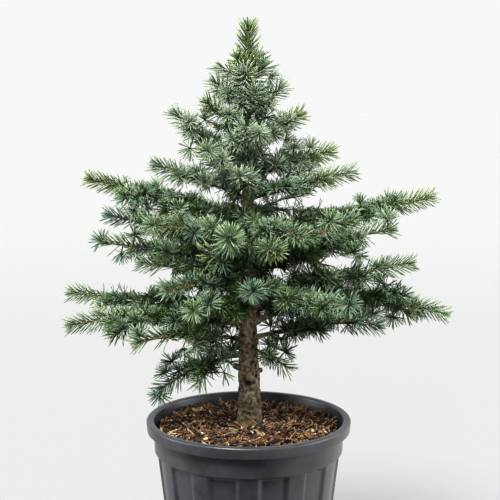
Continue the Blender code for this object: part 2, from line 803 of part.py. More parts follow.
def bough_stem(bough, axis):
    """The stem of a bough's mass: from the limb's end, or the bark, to the tip of the wood."""
    start = limb_length(bough, axis) + GAP if bough.limb else bark_distance(axis, stem_radius(bough))
    total = length_of(axis)
    count = max(2, round((total - start) / STEM_STEP))
    return [along(axis, start + (total - start) * k / count)[0] for k in range(count + 1)]


def leader_axis():
    middle = (TRUNK_HEIGHT + TREE_HEIGHT) / 2
    return [trunk_centre(height) for height in (TRUNK_HEIGHT, middle, TREE_HEIGHT)]


def leader_twigs():
    """Foot, direction and length of each twig of the leading shoot."""
    found = []
    for height, bearing, length, rise in LEADER_TWIGS:
        turn = math.radians(bearing)
        tilt = math.radians(rise)
        level = Vector((math.cos(turn), math.sin(turn), 0.0))
        direction = level * math.cos(tilt) + Vector((0.0, 0.0, math.sin(tilt)))
        found.append((along(leader_axis(), height)[0], direction, length))
    return found


def make_crown(wood, needles):
    axes = {}
    limbs = {}
    lines = {}
    for bough in BOUGHS:
        lines[bough.name] = bough_axis(bough)
        axes[bough.name] = samples(lines[bough.name], AXIS_SAMPLE)
        if bough.limb:
            end = limb_length(bough, lines[bough.name])
            total = length_of(lines[bough.name])
            reached = [k for k in range(AXIS_POINTS + 1) if total * k / AXIS_POINTS <= end + STEM_STEP]
            places = np.array([tuple(lines[bough.name][k]) for k in reached])
            limbs[bough.name] = (places, limb_radius(bough, LIMB_WIDE_SHARE))
    leader_lines = [leader_axis()]
    leader_lines += [[foot, foot + direction * length] for foot, direction, length in leader_twigs()]
    axes["leader"] = np.concatenate([samples(line, AXIS_SAMPLE) for line in leader_lines])
    for number, bough in enumerate(BOUGHS):
        chooser = random.Random(SEED + SEED_STEP * number)
        axis = lines[bough.name]
        space = Space(bough.name, axes, limbs)
        if bough.limb:
            make_limb(bough, axis, wood)
        stem = bough_stem(bough, axis)
        first_radius = stem_radius(bough)
        twigs = side_twigs(stem, space, chooser)
        clear = None if bough.limb else foot_clearance(axis[0], first_radius)
        make_mass("foliage_" + bough.name, stem, first_radius, space, chooser, twigs, clear, needles)
    chooser = random.Random(SEED)
    space = Space("leader", axes, limbs)
    line = leader_axis()
    total = length_of(line)
    count = round(total / STEM_STEP)
    stem = [along(line, GAP + (total - GAP) * k / count)[0] for k in range(count + 1)]
    twigs = []
    for foot, direction, length in leader_twigs():
        points = twig_points(foot, direction, length, space, TWIG_STEP)
        if len(points) > 2:
            twigs.append(points)
    first_radius = trunk_radius(TRUNK_HEIGHT) * LEADER_STEM_SHARE
    make_mass("foliage_leader", stem, first_radius, space, chooser, twigs, None, needles)


def main():
    remove_objects()
    plastic = plain_material("pot_plastic", PLASTIC_COLOUR, 0.45)
    mulch = plain_material("bark_mulch", MULCH_COLOUR, 0.95)
    bark = plain_material("cedar_bark", BARK_COLOUR, 0.90)
    needles = plain_material("cedar_needles", NEEDLE_COLOUR, 0.60)
    make_pot(plastic)
    make_soil(mulch)
    make_trunk(bark)
    make_crown(bark, needles)


main()
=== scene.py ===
# %% [markdown]
# # A potted blue atlas cedar
# The real thing is a young conifer, about 60 cm of trunk and boughs, in a ribbed nursery pot that holds
# bark mulch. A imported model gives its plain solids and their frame. This lesson dresses them: it turns the
# pot, scatters the mulch, gives the trunk its bark, and grows twigs and needles by the rule that made the
# solids. Everything is in metres, +Z is up, and -Y is the front.

# %% Load the frame
import math
import random
from collections import namedtuple

import bmesh
import bpy
import numpy as np
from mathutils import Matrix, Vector, noise


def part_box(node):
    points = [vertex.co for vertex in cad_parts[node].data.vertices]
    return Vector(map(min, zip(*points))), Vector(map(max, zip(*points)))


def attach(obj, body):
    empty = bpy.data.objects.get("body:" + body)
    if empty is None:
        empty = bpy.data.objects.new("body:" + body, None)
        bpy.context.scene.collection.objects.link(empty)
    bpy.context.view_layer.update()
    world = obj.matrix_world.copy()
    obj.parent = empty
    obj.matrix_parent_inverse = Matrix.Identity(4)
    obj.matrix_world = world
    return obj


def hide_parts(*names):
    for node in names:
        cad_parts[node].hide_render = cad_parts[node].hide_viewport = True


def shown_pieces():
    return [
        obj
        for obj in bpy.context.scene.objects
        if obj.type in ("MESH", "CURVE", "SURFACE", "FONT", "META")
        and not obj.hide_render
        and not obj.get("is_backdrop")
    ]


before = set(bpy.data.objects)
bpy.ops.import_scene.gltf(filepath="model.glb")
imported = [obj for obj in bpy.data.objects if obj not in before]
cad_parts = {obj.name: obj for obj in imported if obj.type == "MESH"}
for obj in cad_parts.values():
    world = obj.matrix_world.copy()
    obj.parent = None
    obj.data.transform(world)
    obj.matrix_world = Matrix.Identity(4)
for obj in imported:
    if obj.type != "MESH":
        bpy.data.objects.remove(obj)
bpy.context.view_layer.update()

# %% [markdown]
# ## Tools of the trade
# A node is made, set and linked in one call. The kinds that come back all the time, such as sums and ranges,
# have a short call of their own, which returns the socket with the result.

# %% Helpers for nodes


def set_inputs(tree, node, inputs):
    """Each input, by name or number, gets a value or a link from a socket."""
    for key, value in inputs.items():
        if isinstance(value, bpy.types.NodeSocket):
            tree.links.new(value, node.inputs[key])
        else:
            node.inputs[key].default_value = value


def add_node(tree, kind, inputs=None, **settings):
    node = tree.nodes.new(kind)
    for name, value in settings.items():
        setattr(node, name, value)
    set_inputs(tree, node, inputs or {})
    return node


def result_of(tree, kind, inputs=None, **settings):
    return add_node(tree, kind, inputs, **settings).outputs[0]


def calculate(tree, operation, *inputs, kind="ShaderNodeMath"):
    return result_of(tree, kind, dict(enumerate(inputs)), operation=operation)


def calculate_vector(tree, operation, *inputs):
    return calculate(tree, operation, *inputs, kind="ShaderNodeVectorMath")


def scale_vector(tree, vector, share):
    return result_of(tree, "ShaderNodeVectorMath", {0: vector, "Scale": share}, operation="SCALE")


def length_of_vector(tree, vector):
    return add_node(tree, "ShaderNodeVectorMath", {0: vector}, operation="LENGTH").outputs["Value"]


def combine(tree, x=0.0, y=0.0, z=0.0):
    return result_of(tree, "ShaderNodeCombineXYZ", {0: x, 1: y, 2: z})


def separate(tree, vector):
    return add_node(tree, "ShaderNodeSeparateXYZ", {0: vector}).outputs


def remap(tree, value, start, end, low=0.0, high=1.0, soft=False):
    """A value's way from start to end, told as a way from low to high."""
    limits = {"Value": value, "From Min": start, "From Max": end, "To Min": low, "To Max": high}
    kind = "SMOOTHSTEP" if soft else "LINEAR"
    return result_of(tree, "ShaderNodeMapRange", limits, interpolation_type=kind)


# %% [markdown]
# Colours are picked as sRGB hex values, but shaders want linear light, so one function turns them over. A
# material is mixed from noises and ramps, which have short calls too.

# %% Helpers for colours and materials


def linear(colour):
    """An sRGB hex colour as linear light, with alpha."""
    values = [int(colour[i:i + 2], 16) / 255 for i in (1, 3, 5)]
    return tuple(v / 12.92 if v <= 0.04045 else ((v + 0.055) / 1.055) ** 2.4 for v in values) + (1.0,)


def blend_colours(tree, share, first, last):
    """One colour turning to another as a share goes from 0 to 1."""
    return add_node(tree, "ShaderNodeMix", {"Factor": share, 6: first, 7: last}, data_type="RGBA").outputs[2]


def colour_ramp(tree, share, *stops):
    """A colour that follows a share through some stops, each a place and a hex colour."""
    node = add_node(tree, "ShaderNodeValToRGB", {0: share})
    elements = node.color_ramp.elements
    for element, (place, colour) in zip(elements, (stops[0], stops[-1])):
        element.position = place
        element.color = linear(colour)
    for place, colour in stops[1:-1]:
        elements.new(place).color = linear(colour)
    return node.outputs[0]


def noise_at(tree, spot, scale, detail, roughness=0.5):
    inputs = {"Vector": spot, "Scale": scale, "Detail": detail, "Roughness": roughness}
    return result_of(tree, "ShaderNodeTexNoise", inputs)


def bumps(tree, height, strength, distance):
    inputs = {"Height": height, "Strength": strength, "Distance": distance}
    return result_of(tree, "ShaderNodeBump", inputs)


def object_point(tree):
    return add_node(tree, "ShaderNodeTexCoord").outputs["Object"]


def new_material(name):
    """A new material, with its node tree and its shader."""
    material = bpy.data.materials.new(name)
    material.use_nodes = True
    return material, material.node_tree, material.node_tree.nodes["Principled BSDF"]


# %% [markdown]
# A mesh may carry named attributes, which its materials and its Geometry Nodes can read. Along lines and
# round circles, places are counted out evenly.

# %% Helpers for meshes and places
# Stands in for a length of zero where something is divided by it
TINY = 1e-6


def new_object(name, vertices, edges=(), faces=(), attributes=None):
    mesh = bpy.data.meshes.new(name)
    mesh.from_pydata([tuple(v) for v in vertices], list(edges), list(faces))
    for label, values in (attributes or {}).items():
        values = np.asarray(values, dtype=np.float32)
        flat = values.ndim == 1
        attribute = mesh.attributes.new(label, "FLOAT" if flat else "FLOAT_VECTOR", "POINT")
        attribute.data.foreach_set("value" if flat else "vector", values.ravel())
    item = bpy.data.objects.new(name, mesh)
    bpy.context.scene.collection.objects.link(item)
    return item


def triangles(item):
    return sum(len(face.vertices) - 2 for face in item.data.polygons)


def between(least, most, share):
    return least + (most - least) * share


def evenly(start, end, count):
    """Numbers from start to end, in a count of equal steps."""
    return [start + (end - start) * k / count for k in range(count + 1)]


def circle(radius, count):
    """Points round the middle, as x and y."""
    turns = [2 * math.pi * k / count for k in range(count)]
    return [(radius * math.cos(turn), radius * math.sin(turn)) for turn in turns]


def towards(turn, rise=0.0):
    """A direction from its bearing in radians, and how much it rises."""
    return Vector((math.cos(turn), math.sin(turn), rise))


# %% [markdown]
# ## Geometry Nodes from a script
# What repeats or follows a path is grown by Geometry Nodes. Every tree here takes a mesh, a material and
# some named sizes, and ends alike: the copies are made real and get the material. The modifier is run once
# and its result kept as a plain mesh, so that nothing is left to evaluate.

# %% Helpers for Geometry Nodes


def geometry_tree(name, sizes):
    """A new tree with named inputs. Returns it with a dictionary of its input sockets."""
    tree = bpy.data.node_groups.new(name, "GeometryNodeTree")
    tree.interface.new_socket("Geometry", in_out="OUTPUT", socket_type="NodeSocketGeometry")
    for label, kind in {"Geometry": "Geometry", "Material": "Material", **sizes}.items():
        tree.interface.new_socket(label, in_out="INPUT", socket_type="NodeSocket" + kind)
    outputs = add_node(tree, "NodeGroupInput").outputs
    return tree, {socket.name: socket for socket in outputs if socket.name}


def attribute_of(tree, name, kind="FLOAT"):
    return result_of(tree, "GeometryNodeInputNamedAttribute", {"Name": name}, data_type=kind)


def position(tree):
    return result_of(tree, "GeometryNodeInputPosition")


def move_points(tree, mesh, **inputs):
    """A mesh with its points moved by an Offset or to a Position."""
    return result_of(tree, "GeometryNodeSetPosition", {0: mesh, **inputs})


def copies(tree, points, instance, **inputs):
    inputs = {"Points": points, "Instance": instance, **inputs}
    return result_of(tree, "GeometryNodeInstanceOnPoints", inputs)


def end_tree(tree, given, geometry, smooth=True):
    real = result_of(tree, "GeometryNodeRealizeInstances", {0: geometry})
    shaded = result_of(tree, "GeometryNodeSetShadeSmooth", {0: real, "Shade Smooth": smooth})
    dressed = add_node(tree, "GeometryNodeSetMaterial", {0: shaded, "Material": given["Material"]})
    add_node(tree, "NodeGroupOutput", {0: dressed.outputs[0]})


def grow(item, tree, material, sizes):
    """Runs a tree on an object and keeps the result as the object's plain mesh."""
    modifier = item.modifiers.new(tree.name, "NODES")
    modifier.node_group = tree
    values = {**sizes, "Material": material}
    for socket in tree.interface.items_tree:
        if socket.in_out == "INPUT" and socket.name in values:
            modifier[socket.identifier] = values[socket.name]
    graph = bpy.context.evaluated_depsgraph_get()
    made = bpy.data.meshes.new_from_object(item.evaluated_get(graph))
    item.modifiers.remove(modifier)
    item.data = made
    print(f"{item.name}: {triangles(item)} triangles")
    return item


def finish_piece(item, slot_name, *nodes):
    """The piece rides on the plant's one body and stands for some nodes. Its slot name is not used."""
    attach(item, "root")
    if nodes:
        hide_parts(*nodes)


# %% [markdown]
# ## The studio
# The plant stands on a pale floor that runs on to the horizon, where the backdrop is just as pale, so the
# two melt together. A backdrop in a studio has lamps of its own, so its light is set apart from the room's:
# the room glows from behind and from the sides, and is dim in front and below, which keeps the undersides
# of the boughs dark. One large soft lamp stands high at the front left, a weak one low in front lights the
# trunk under the crown, and another stands low at either side, so that the pot's ribs catch the light. What
# shines, such as plastic seen at a slant, mirrors the white backdrop from the floor up, and a white screen
# at the right. The paper floor glows a little too, because a backdrop's own lamps wash shadows out. A camera
# deepens the darks a little, and so does the scene's gamma.

# %% Camera, floor and lights
CAMERA_PLACE = (0.0, -1.70, 0.7821)
CAMERA_PITCH = math.radians(7.78)
CAMERA_LENS = 80.24
CAMERA_SHIFT = 0.0028
CAMERA_GAMMA = 0.82
FLOOR_RADIUS = 60.0
FLOOR_SIDES = 96
# The paper's colour near the pot and far off, how far both reach, and its own faint light
FLOOR_NEAR = "#6A6A6A"
FLOOR_FAR = "#6E6E6E"
NEAR_DISTANCE = 1.0
FAR_DISTANCE = 6.0
FLOOR_GLOW = 3.6
BACKDROP_COLOUR = "#F9F9F9"
# The light that falls from the room behind, in front, overhead and below
GLOW_BEHIND = "#F0F0F0"
GLOW_FRONT = "#868685"
GLOW_CEILING = "#A7A7A5"
GLOW_BELOW = "#6C6A66"
# What shiny things mirror behind them, in front and at the right
MIRROR_BEHIND = "#FFFFFF"
MIRROR_FRONT = "#404246"
MIRROR_RIGHT = (1.7, 1.7, 1.7, 1.0)
# Where one turns to another, along y, z and x of the direction looked in
FRONT_TO_BEHIND = (-0.7, 0.1)
BAND_TO_CEILING = (0.22, 0.55)
MIDDLE_TO_RIGHT = (0.2, 0.8)
LAMPS = (
    # name, direction from the plant, spread in degrees, strength
    ("key", (-0.42, -0.80, 1.30), 22, 6.3),
    ("front", (-0.15, -1.00, 0.30), 40, 0.65),
    ("left", (-1.00, -0.08, 0.30), 34, 1.9),
    ("right", (1.00, -0.08, 0.30), 34, 2.1),
)


def paper_floor():
    rim = [(x, y, 0.0) for x, y in circle(FLOOR_RADIUS, FLOOR_SIDES)]
    floor = new_object("floor", rim, faces=[tuple(range(FLOOR_SIDES))])
    paper, tree, shader = new_material("white_paper")
    distance = length_of_vector(tree, object_point(tree))
    share = remap(tree, distance, NEAR_DISTANCE, FAR_DISTANCE, soft=True)
    colour = blend_colours(tree, share, linear(FLOOR_NEAR), linear(FLOOR_FAR))
    set_inputs(tree, shader, {"Base Color": colour, "Roughness": 1.0, "Specular IOR Level": 0.0})
    set_inputs(tree, shader, {"Emission Color": colour, "Emission Strength": FLOOR_GLOW})
    floor.data.materials.append(paper)
    floor.visible_diffuse = False
    floor.visible_glossy = False
    floor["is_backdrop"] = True


def studio_sky():
    """A white backdrop for the camera, and the room's own light for everything else."""
    world = bpy.data.worlds.new("studio_sky")
    world.use_nodes = True
    tree = world.node_tree
    x, y, z = separate(tree, add_node(tree, "ShaderNodeTexCoord").outputs["Generated"])
    behind = remap(tree, y, *FRONT_TO_BEHIND, soft=True)
    overhead = remap(tree, z, *BAND_TO_CEILING, soft=True)
    below = remap(tree, z, *(-sine for sine in BAND_TO_CEILING), soft=True)
    light = blend_colours(tree, behind, linear(GLOW_FRONT), linear(GLOW_BEHIND))
    light = blend_colours(tree, overhead, light, linear(GLOW_CEILING))
    light = blend_colours(tree, below, light, linear(GLOW_BELOW))
    mirrored = blend_colours(tree, behind, linear(MIRROR_FRONT), linear(MIRROR_BEHIND))
    mirrored = blend_colours(tree, remap(tree, x, *MIDDLE_TO_RIGHT, soft=True), mirrored, MIRROR_RIGHT)
    kind = add_node(tree, "ShaderNodeLightPath").outputs
    colour = blend_colours(tree, kind["Is Glossy Ray"], light, mirrored)
    colour = blend_colours(tree, kind["Is Camera Ray"], colour, linear(BACKDROP_COLOUR))
    tree.links.new(colour, tree.nodes["Background"].inputs["Color"])
    bpy.context.scene.world = world


def set_stage():
    scene = bpy.context.scene
    camera = bpy.data.objects.new("camera", bpy.data.cameras.new("camera"))
    camera.location = CAMERA_PLACE
    camera.rotation_euler = (math.pi / 2 - CAMERA_PITCH, 0.0, 0.0)
    camera.data.lens = CAMERA_LENS
    camera.data.shift_x = CAMERA_SHIFT
    scene.collection.objects.link(camera)
    scene.camera = camera
    for name, direction, spread, strength in LAMPS:
        lamp = bpy.data.objects.new(name, bpy.data.lights.new(name, "SUN"))
        lamp.data.energy = strength
        lamp.data.angle = math.radians(spread)
        lamp.location = direction
        lamp.rotation_euler = (-Vector(direction)).to_track_quat("-Z", "Y").to_euler()
        scene.collection.objects.link(lamp)
    scene.view_settings.view_transform = "Standard"
    scene.view_settings.gamma = CAMERA_GAMMA


paper_floor()
studio_sky()
set_stage()

# %% [markdown]
# ## The pot
# The pot is injection-moulded polypropylene: a turned wall with twelve raised ribs, a smooth band above
# them and a rounded lip. It could be modelled by hand, but its shape is a rule. So a Geometry Nodes tree
# turns a profile: each column of a grid is the profile at its own angle, and the wall between the ribs is
# pressed inwards. Where a ring of the profile is free of ribs, its attribute "flute" is 0.

# %% The pot's sizes and profile
POT_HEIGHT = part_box("pot")[1].z
POT_TOP_RADIUS = 0.160
POT_BASE_RADIUS = 0.1155
POT_WALL = 0.003
POT_FLOOR = 0.004
LIP_HEIGHT = 0.0177
LIP_WIDTH = 0.0120
LIP_ROUND = 0.0035
BAND_HEIGHT = 0.0325
BAND_RADIUS = 0.1475
BAND_EDGE = 0.0015
SMALL_ROUND = 0.0012
FLUTED_TOP_RADIUS = 0.1435
FLUTE_COUNT = 12
FLUTE_DEPTH = 0.0035
FLUTE_SHOULDER = 0.007
# How much of the flutes' depth is gone at the shoulder's top, and what is left under the band
SHOULDER_FADE = 0.65
FLUTE_UNDER_BAND = 0.12
RIB_HALF_ANGLE = math.radians(5.5)
RIB_FOOT_ANGLE = math.radians(7.9)
FOOT_ROUND = 0.004
DRAIN_COUNT = 8
DRAIN_RADIUS = 0.008
DRAIN_CIRCLE = 0.085
DRAIN_SIDES = 24
POT_COLUMNS = FLUTE_COUNT * 30
MERGE = 0.00002
SHARP_ANGLE = math.radians(35)


def arc(x, z, radius, start, end, steps):
    """Points of a round corner about x and z, from one angle to another in degrees."""
    turns = [math.radians(angle) for angle in evenly(start, end, steps)]
    return [(x + radius * math.cos(turn), z + radius * math.sin(turn)) for turn in turns]


def rib_radius(z):
    band_foot = POT_HEIGHT - LIP_HEIGHT - BAND_HEIGHT
    return POT_BASE_RADIUS + (FLUTED_TOP_RADIUS - POT_BASE_RADIUS) * z / band_foot


def pot_profile():
    """Rings of the wall from the middle of the underside, up the outside, over the lip and down inside."""
    lip_foot = POT_HEIGHT - LIP_HEIGHT
    band_foot = lip_foot - BAND_HEIGHT
    soft = SMALL_ROUND
    rings = [(0.0, 0.0, 0.0), (POT_BASE_RADIUS - FOOT_ROUND - FLUTE_DEPTH, 0.0, 0.0)]
    for x, z in arc(rib_radius(FOOT_ROUND) - FOOT_ROUND, FOOT_ROUND, FOOT_ROUND, -60, 0, 3):
        rings.append((x, z, (z / FOOT_ROUND) ** 0.5))
    wall_top = band_foot - FLUTE_SHOULDER
    for z in evenly(FOOT_ROUND, wall_top, 8)[1:]:
        rings.append((rib_radius(z), z, 1.0))
    for share in evenly(0.0, 1.0, 6)[1:-1]:
        z = wall_top + (FLUTE_SHOULDER - soft) * share
        rings.append((rib_radius(z) + soft * share, z, 1.0 - SHOULDER_FADE * share**2))
    rings.append((BAND_RADIUS - BAND_EDGE - soft, band_foot - soft / 2, FLUTE_UNDER_BAND))
    smooth = arc(BAND_RADIUS - BAND_EDGE, band_foot + BAND_EDGE, BAND_EDGE, -80, 0, 4)
    smooth.append((BAND_RADIUS + soft - soft / 3, lip_foot - soft))
    smooth.append((BAND_RADIUS + soft + soft / 2, lip_foot))
    smooth += arc(POT_TOP_RADIUS - 2 * soft, lip_foot + soft, soft, -90, 0, 3)
    smooth += arc(POT_TOP_RADIUS - LIP_ROUND, POT_HEIGHT - LIP_ROUND, LIP_ROUND, 0, 90, 6)
    inner_lip = POT_TOP_RADIUS - LIP_WIDTH
    smooth += arc(inner_lip + LIP_ROUND, POT_HEIGHT - LIP_ROUND, LIP_ROUND, 90, 180, 6)
    smooth += [(rib_radius(z) - FLUTE_DEPTH - POT_WALL, z) for z in (band_foot, POT_FLOOR)]
    smooth.append((0.0, POT_FLOOR))
    return rings + [(x, z, 0.0) for x, z in smooth]


# %% The tree that turns the profile


def wall_radius(tree, given, radius, part, flute):
    """The profile's radius, pressed in by the flutes' depth where no rib is near."""
    in_ribs = calculate(tree, "MULTIPLY", part, given["Ribs"])
    from_rib = calculate(tree, "PINGPONG", in_ribs, 0.5)
    off = calculate(tree, "MULTIPLY", from_rib, calculate(tree, "DIVIDE", 2 * math.pi, given["Ribs"]))
    limits = (given["Rib Half Angle"], given["Rib Foot Angle"], 0.0, given["Flute Depth"])
    depth = calculate(tree, "MULTIPLY", remap(tree, off, *limits, soft=True), flute)
    return calculate(tree, "SUBTRACT", radius, depth)


def drain_rods(tree, given):
    """Rods in a circle, which cut the drain holes."""
    ring = {"Vertices": given["Drains"], "Radius": given["Drain Circle"]}
    ring = result_of(tree, "GeometryNodeMeshCircle", ring)
    rod = {"Vertices": DRAIN_SIDES, "Radius": given["Drain Radius"], "Depth": POT_FLOOR * 4}
    rod = result_of(tree, "GeometryNodeMeshCylinder", rod)
    half_step = calculate(tree, "DIVIDE", math.pi, given["Drains"])
    inputs = {0: copies(tree, ring, rod), "Rotation": combine(tree, z=half_step)}
    return result_of(tree, "GeometryNodeTransform", inputs)


def turning_tree():
    sizes = {"Columns": "Int", "Ribs": "Int", "Rib Half Angle": "Float", "Rib Foot Angle": "Float"}
    sizes |= {"Flute Depth": "Float", "Drain Radius": "Float", "Drain Circle": "Float", "Drains": "Int"}
    tree, given = geometry_tree("turned_wall", sizes)
    whole = "FunctionNodeIntegerMath"
    rings = add_node(tree, "GeometryNodeAttributeDomainSize", {0: given["Geometry"]}).outputs["Point Count"]
    columns = calculate(tree, "ADD", given["Columns"], 1, kind=whole)
    grid = result_of(tree, "GeometryNodeMeshGrid", {"Vertices X": columns, "Vertices Y": rings})
    index = result_of(tree, "GeometryNodeInputIndex")
    ring = calculate(tree, "MODULO", index, rings, kind=whole)
    column = calculate(tree, "DIVIDE_FLOOR", index, rings, kind=whole)
    sampled = []
    for value, kind in ((position(tree), "FLOAT_VECTOR"), (attribute_of(tree, "flute"), "FLOAT")):
        inputs = {0: given["Geometry"], "Value": value, "Index": ring}
        sampled.append(result_of(tree, "GeometryNodeSampleIndex", inputs, data_type=kind))
    axes = separate(tree, sampled[0])
    part = calculate(tree, "DIVIDE", column, given["Columns"])
    angle = calculate(tree, "MULTIPLY", part, 2 * math.pi)
    radius = wall_radius(tree, given, axes[0], part, sampled[1])
    # Column 0 looks at the front, so x takes the sine and y the cosine turned round
    x = calculate(tree, "MULTIPLY", radius, calculate(tree, "SINE", angle))
    back = calculate(tree, "MULTIPLY", radius, calculate(tree, "COSINE", angle))
    spot = combine(tree, x, calculate(tree, "MULTIPLY", back, -1.0), axes[2])
    turned = move_points(tree, grid, Position=spot)
    closed = result_of(tree, "GeometryNodeMergeByDistance", {0: turned, "Distance": MERGE})
    cut = {0: closed, 1: drain_rods(tree, given)}
    drilled = add_node(tree, "GeometryNodeMeshBoolean", cut, operation="DIFFERENCE", solver="EXACT")
    end_tree(tree, given, drilled.outputs[0])
    return tree


# %% [markdown]
# Moulded polypropylene is a dull, slightly waxy plastic. The mould's fine spark-eroded grain scatters the
# light, so a high roughness with a broad soft sheen reads as plastic. A little dust and rubbing lifts the
# colour in patches, which a noise strews at random over the whole pot.

# %% Moulded polypropylene
# Scale, detail and roughness of the noise for patches of dust about 40 mm across, and the wall's colours
PATCHES = (25.0, 5.0, 0.6)
CLEAN_WALL = (0.30, "#2C2E32")
DUSTY_WALL = (0.75, "#46484C")
# Specks of dust about a millimetre across, where each fades out and how much it covers
SPECK_SCALE = 90.0
SPECK_FADE = (0.03, 0.06, 0.5, 0.0)
SPECK_COLOUR = "#8A8A86"
# The mould's grain is a tenth of a millimetre across, drawn at half a millimetre so that it shows: scale
# and detail of its noise, then strength and height of its bumps
GRAIN = (2000.0, 2.0)
GRAIN_BUMPS = (0.25, 0.0001)
# How rough the wall is, from its clean patches to its dusty ones
WALL_ROUGHNESS = (0.3, 0.7, 0.30, 0.42)
PLASTIC_IOR = 1.49


def moulded_polypropylene():
    material, tree, shader = new_material("moulded_polypropylene")
    spot = object_point(tree)
    patches = noise_at(tree, spot, *PATCHES)
    colour = colour_ramp(tree, patches, CLEAN_WALL, DUSTY_WALL)
    specks = add_node(tree, "ShaderNodeTexVoronoi", {"Vector": spot, "Scale": SPECK_SCALE}).outputs["Distance"]
    dusty = blend_colours(tree, remap(tree, specks, *SPECK_FADE), colour, linear(SPECK_COLOUR))
    grain = bumps(tree, noise_at(tree, spot, *GRAIN), *GRAIN_BUMPS)
    rubbed = remap(tree, patches, *WALL_ROUGHNESS)
    set_inputs(tree, shader, {"Base Color": dusty, "Roughness": rubbed, "IOR": PLASTIC_IOR, "Normal": grain})
    return material


# %% Turn the pot


def face_outwards(item):
    """Turns a closed mesh the right way round if its volume comes out negative."""
    shape = bmesh.new()
    shape.from_mesh(item.data)
    if shape.calc_volume(signed=True) < 0:
        bmesh.ops.reverse_faces(shape, faces=shape.faces[:])
    shape.to_mesh(item.data)
    shape.free()


def turn_pot():
    rings = pot_profile()
    edges = [(k, k + 1) for k in range(len(rings) - 1)]
    places = [(x, 0.0, z) for x, z, _ in rings]
    pot = new_object("nursery_pot", places, edges, attributes={"flute": [flute for _, _, flute in rings]})
    sizes = {
        "Columns": POT_COLUMNS,
        "Ribs": FLUTE_COUNT,
        "Rib Half Angle": RIB_HALF_ANGLE,
        "Rib Foot Angle": RIB_FOOT_ANGLE,
        "Flute Depth": FLUTE_DEPTH,
        "Drain Radius": DRAIN_RADIUS,
        "Drain Circle": DRAIN_CIRCLE,
        "Drains": DRAIN_COUNT,
    }
    grow(pot, turning_tree(), moulded_polypropylene(), sizes)
    face_outwards(pot)
    pot.data.set_sharp_from_angle(angle=SHARP_ANGLE)
    finish_piece(pot, "pot_plastic", "pot")


turn_pot()

# %% [markdown]
# ## The mulch
# The pot is filled with shredded pine bark: flat chips, crumbs and long fibres, from nearly black to pale
# straw, with a few white grains. Modelling each by hand is hopeless and one bumpy sheet looks flat. So a
# lumpy bed fills the pot, painted nearly black as painted shade where it shows between the chips, and
# Geometry Nodes strew small bent slabs over it, one run for each colour.

# %% The bed under the chips
soil_low, soil_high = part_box("soil")
trunk_low, trunk_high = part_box("trunk")
FOOT_Z = trunk_low.z
SEED = 41
BED_EDGE_Z = 0.265
BED_RADIUS = 0.1405
BED_RINGS = 36
BED_COLUMNS = 120
BED_SLOPE_POWER = 1.4
BED_FLAT_RADIUS = 0.020
# How fast the lumps grow away from the trunk's foot, and their share left there
LUMP_GROWTH = 3
LUMP_AT_FOOT = 0.15
BED_LUMP = 0.0085
BED_LUMP_SIZE = 0.022
LUMP_ROUGHNESS = 0.9
LUMP_FINER = 2.0
LUMP_LAYERS = 4


def bed_height(x, y):
    """The heap rises from the pot's wall to the trunk, with lumps that fade out at the trunk's foot."""
    radius = math.hypot(x, y)
    share = min(1.0, max(0.0, (BED_RADIUS - radius) / (BED_RADIUS - BED_FLAT_RADIUS)))
    rise = (soil_high.z - BED_EDGE_Z) * share**BED_SLOPE_POWER
    lump = noise.fractal(Vector((x, y, 0.0)) / BED_LUMP_SIZE, LUMP_ROUGHNESS, LUMP_FINER, LUMP_LAYERS)
    return BED_EDGE_Z + rise + BED_LUMP * lump * min(1.0, LUMP_GROWTH * (1 - share) + LUMP_AT_FOOT)


def bed_rings(start, end):
    """Points of the heap's top, ring by ring from one radius to another."""
    rings = [circle(radius, BED_COLUMNS) for radius in evenly(start, end, BED_RINGS)]
    return [(x, y, bed_height(x, y)) for ring in rings for x, y in ring]


def ring_faces(first, rings):
    """Faces between rings of points that follow each other from a first number on."""
    found = []
    for inner in range(first, first + rings * BED_COLUMNS, BED_COLUMNS):
        for i in range(BED_COLUMNS):
            j = (i + 1) % BED_COLUMNS
            found.append((inner + i, inner + BED_COLUMNS + i, inner + BED_COLUMNS + j, inner + j))
    return found


def make_bed():
    """A closed plug: the lumpy top, and a plain wall and underside inside the pot."""
    vertices = [(0.0, 0.0, bed_height(0.0, 0.0))] + bed_rings(0.0, BED_RADIUS)[BED_COLUMNS:]
    last = len(vertices)
    floor_radius = rib_radius(soil_low.z) - FLUTE_DEPTH - 2 * POT_WALL
    vertices += [(x, y, soil_low.z) for x, y in circle(floor_radius, BED_COLUMNS)]
    faces = [(0, 1 + i, 1 + (i + 1) % BED_COLUMNS) for i in range(BED_COLUMNS)]
    faces += ring_faces(1, BED_RINGS)
    faces.append(tuple(reversed(range(last, last + BED_COLUMNS))))
    bed = new_object("mulch_bed", vertices, faces=faces)
    bed.data.shade_smooth()
    return bed


# %% [markdown]
# Shredded bark is dry, matt and fibrous. Each tint is a material of its own, because every chip has one
# colour, and a fine noise gives it flecks and their relief.

# %% Shredded bark
FLECK_LOW = 0.35
FLECK_HIGH = 0.68
BARK_IOR = 1.45
# The chips' roughness, scale and detail of their flecks, then strength and height of their bumps
CHIP_FINISH = (0.9, 450.0, 4.0)
CHIP_BUMPS = (0.6, 0.0004)


def flecked_bark(name, dark, light, roughness, scale, detail):
    """Bark that turns from dark to light in fine flecks. Returns the flecks and their shader too."""
    material, tree, shader = new_material(name)
    flecks = noise_at(tree, object_point(tree), scale, detail)
    colour = colour_ramp(tree, flecks, (FLECK_LOW, dark), (FLECK_HIGH, light))
    set_inputs(tree, shader, {"Base Color": colour, "Roughness": roughness, "IOR": BARK_IOR})
    return material, tree, shader, flecks


def shredded_bark(name, dark, light):
    """Dry matt chips with rough flecks of about 2 mm."""
    material, tree, shader, flecks = flecked_bark("shredded_bark_" + name, dark, light, *CHIP_FINISH)
    set_inputs(tree, shader, {"Normal": bumps(tree, flecks, *CHIP_BUMPS)})
    return material


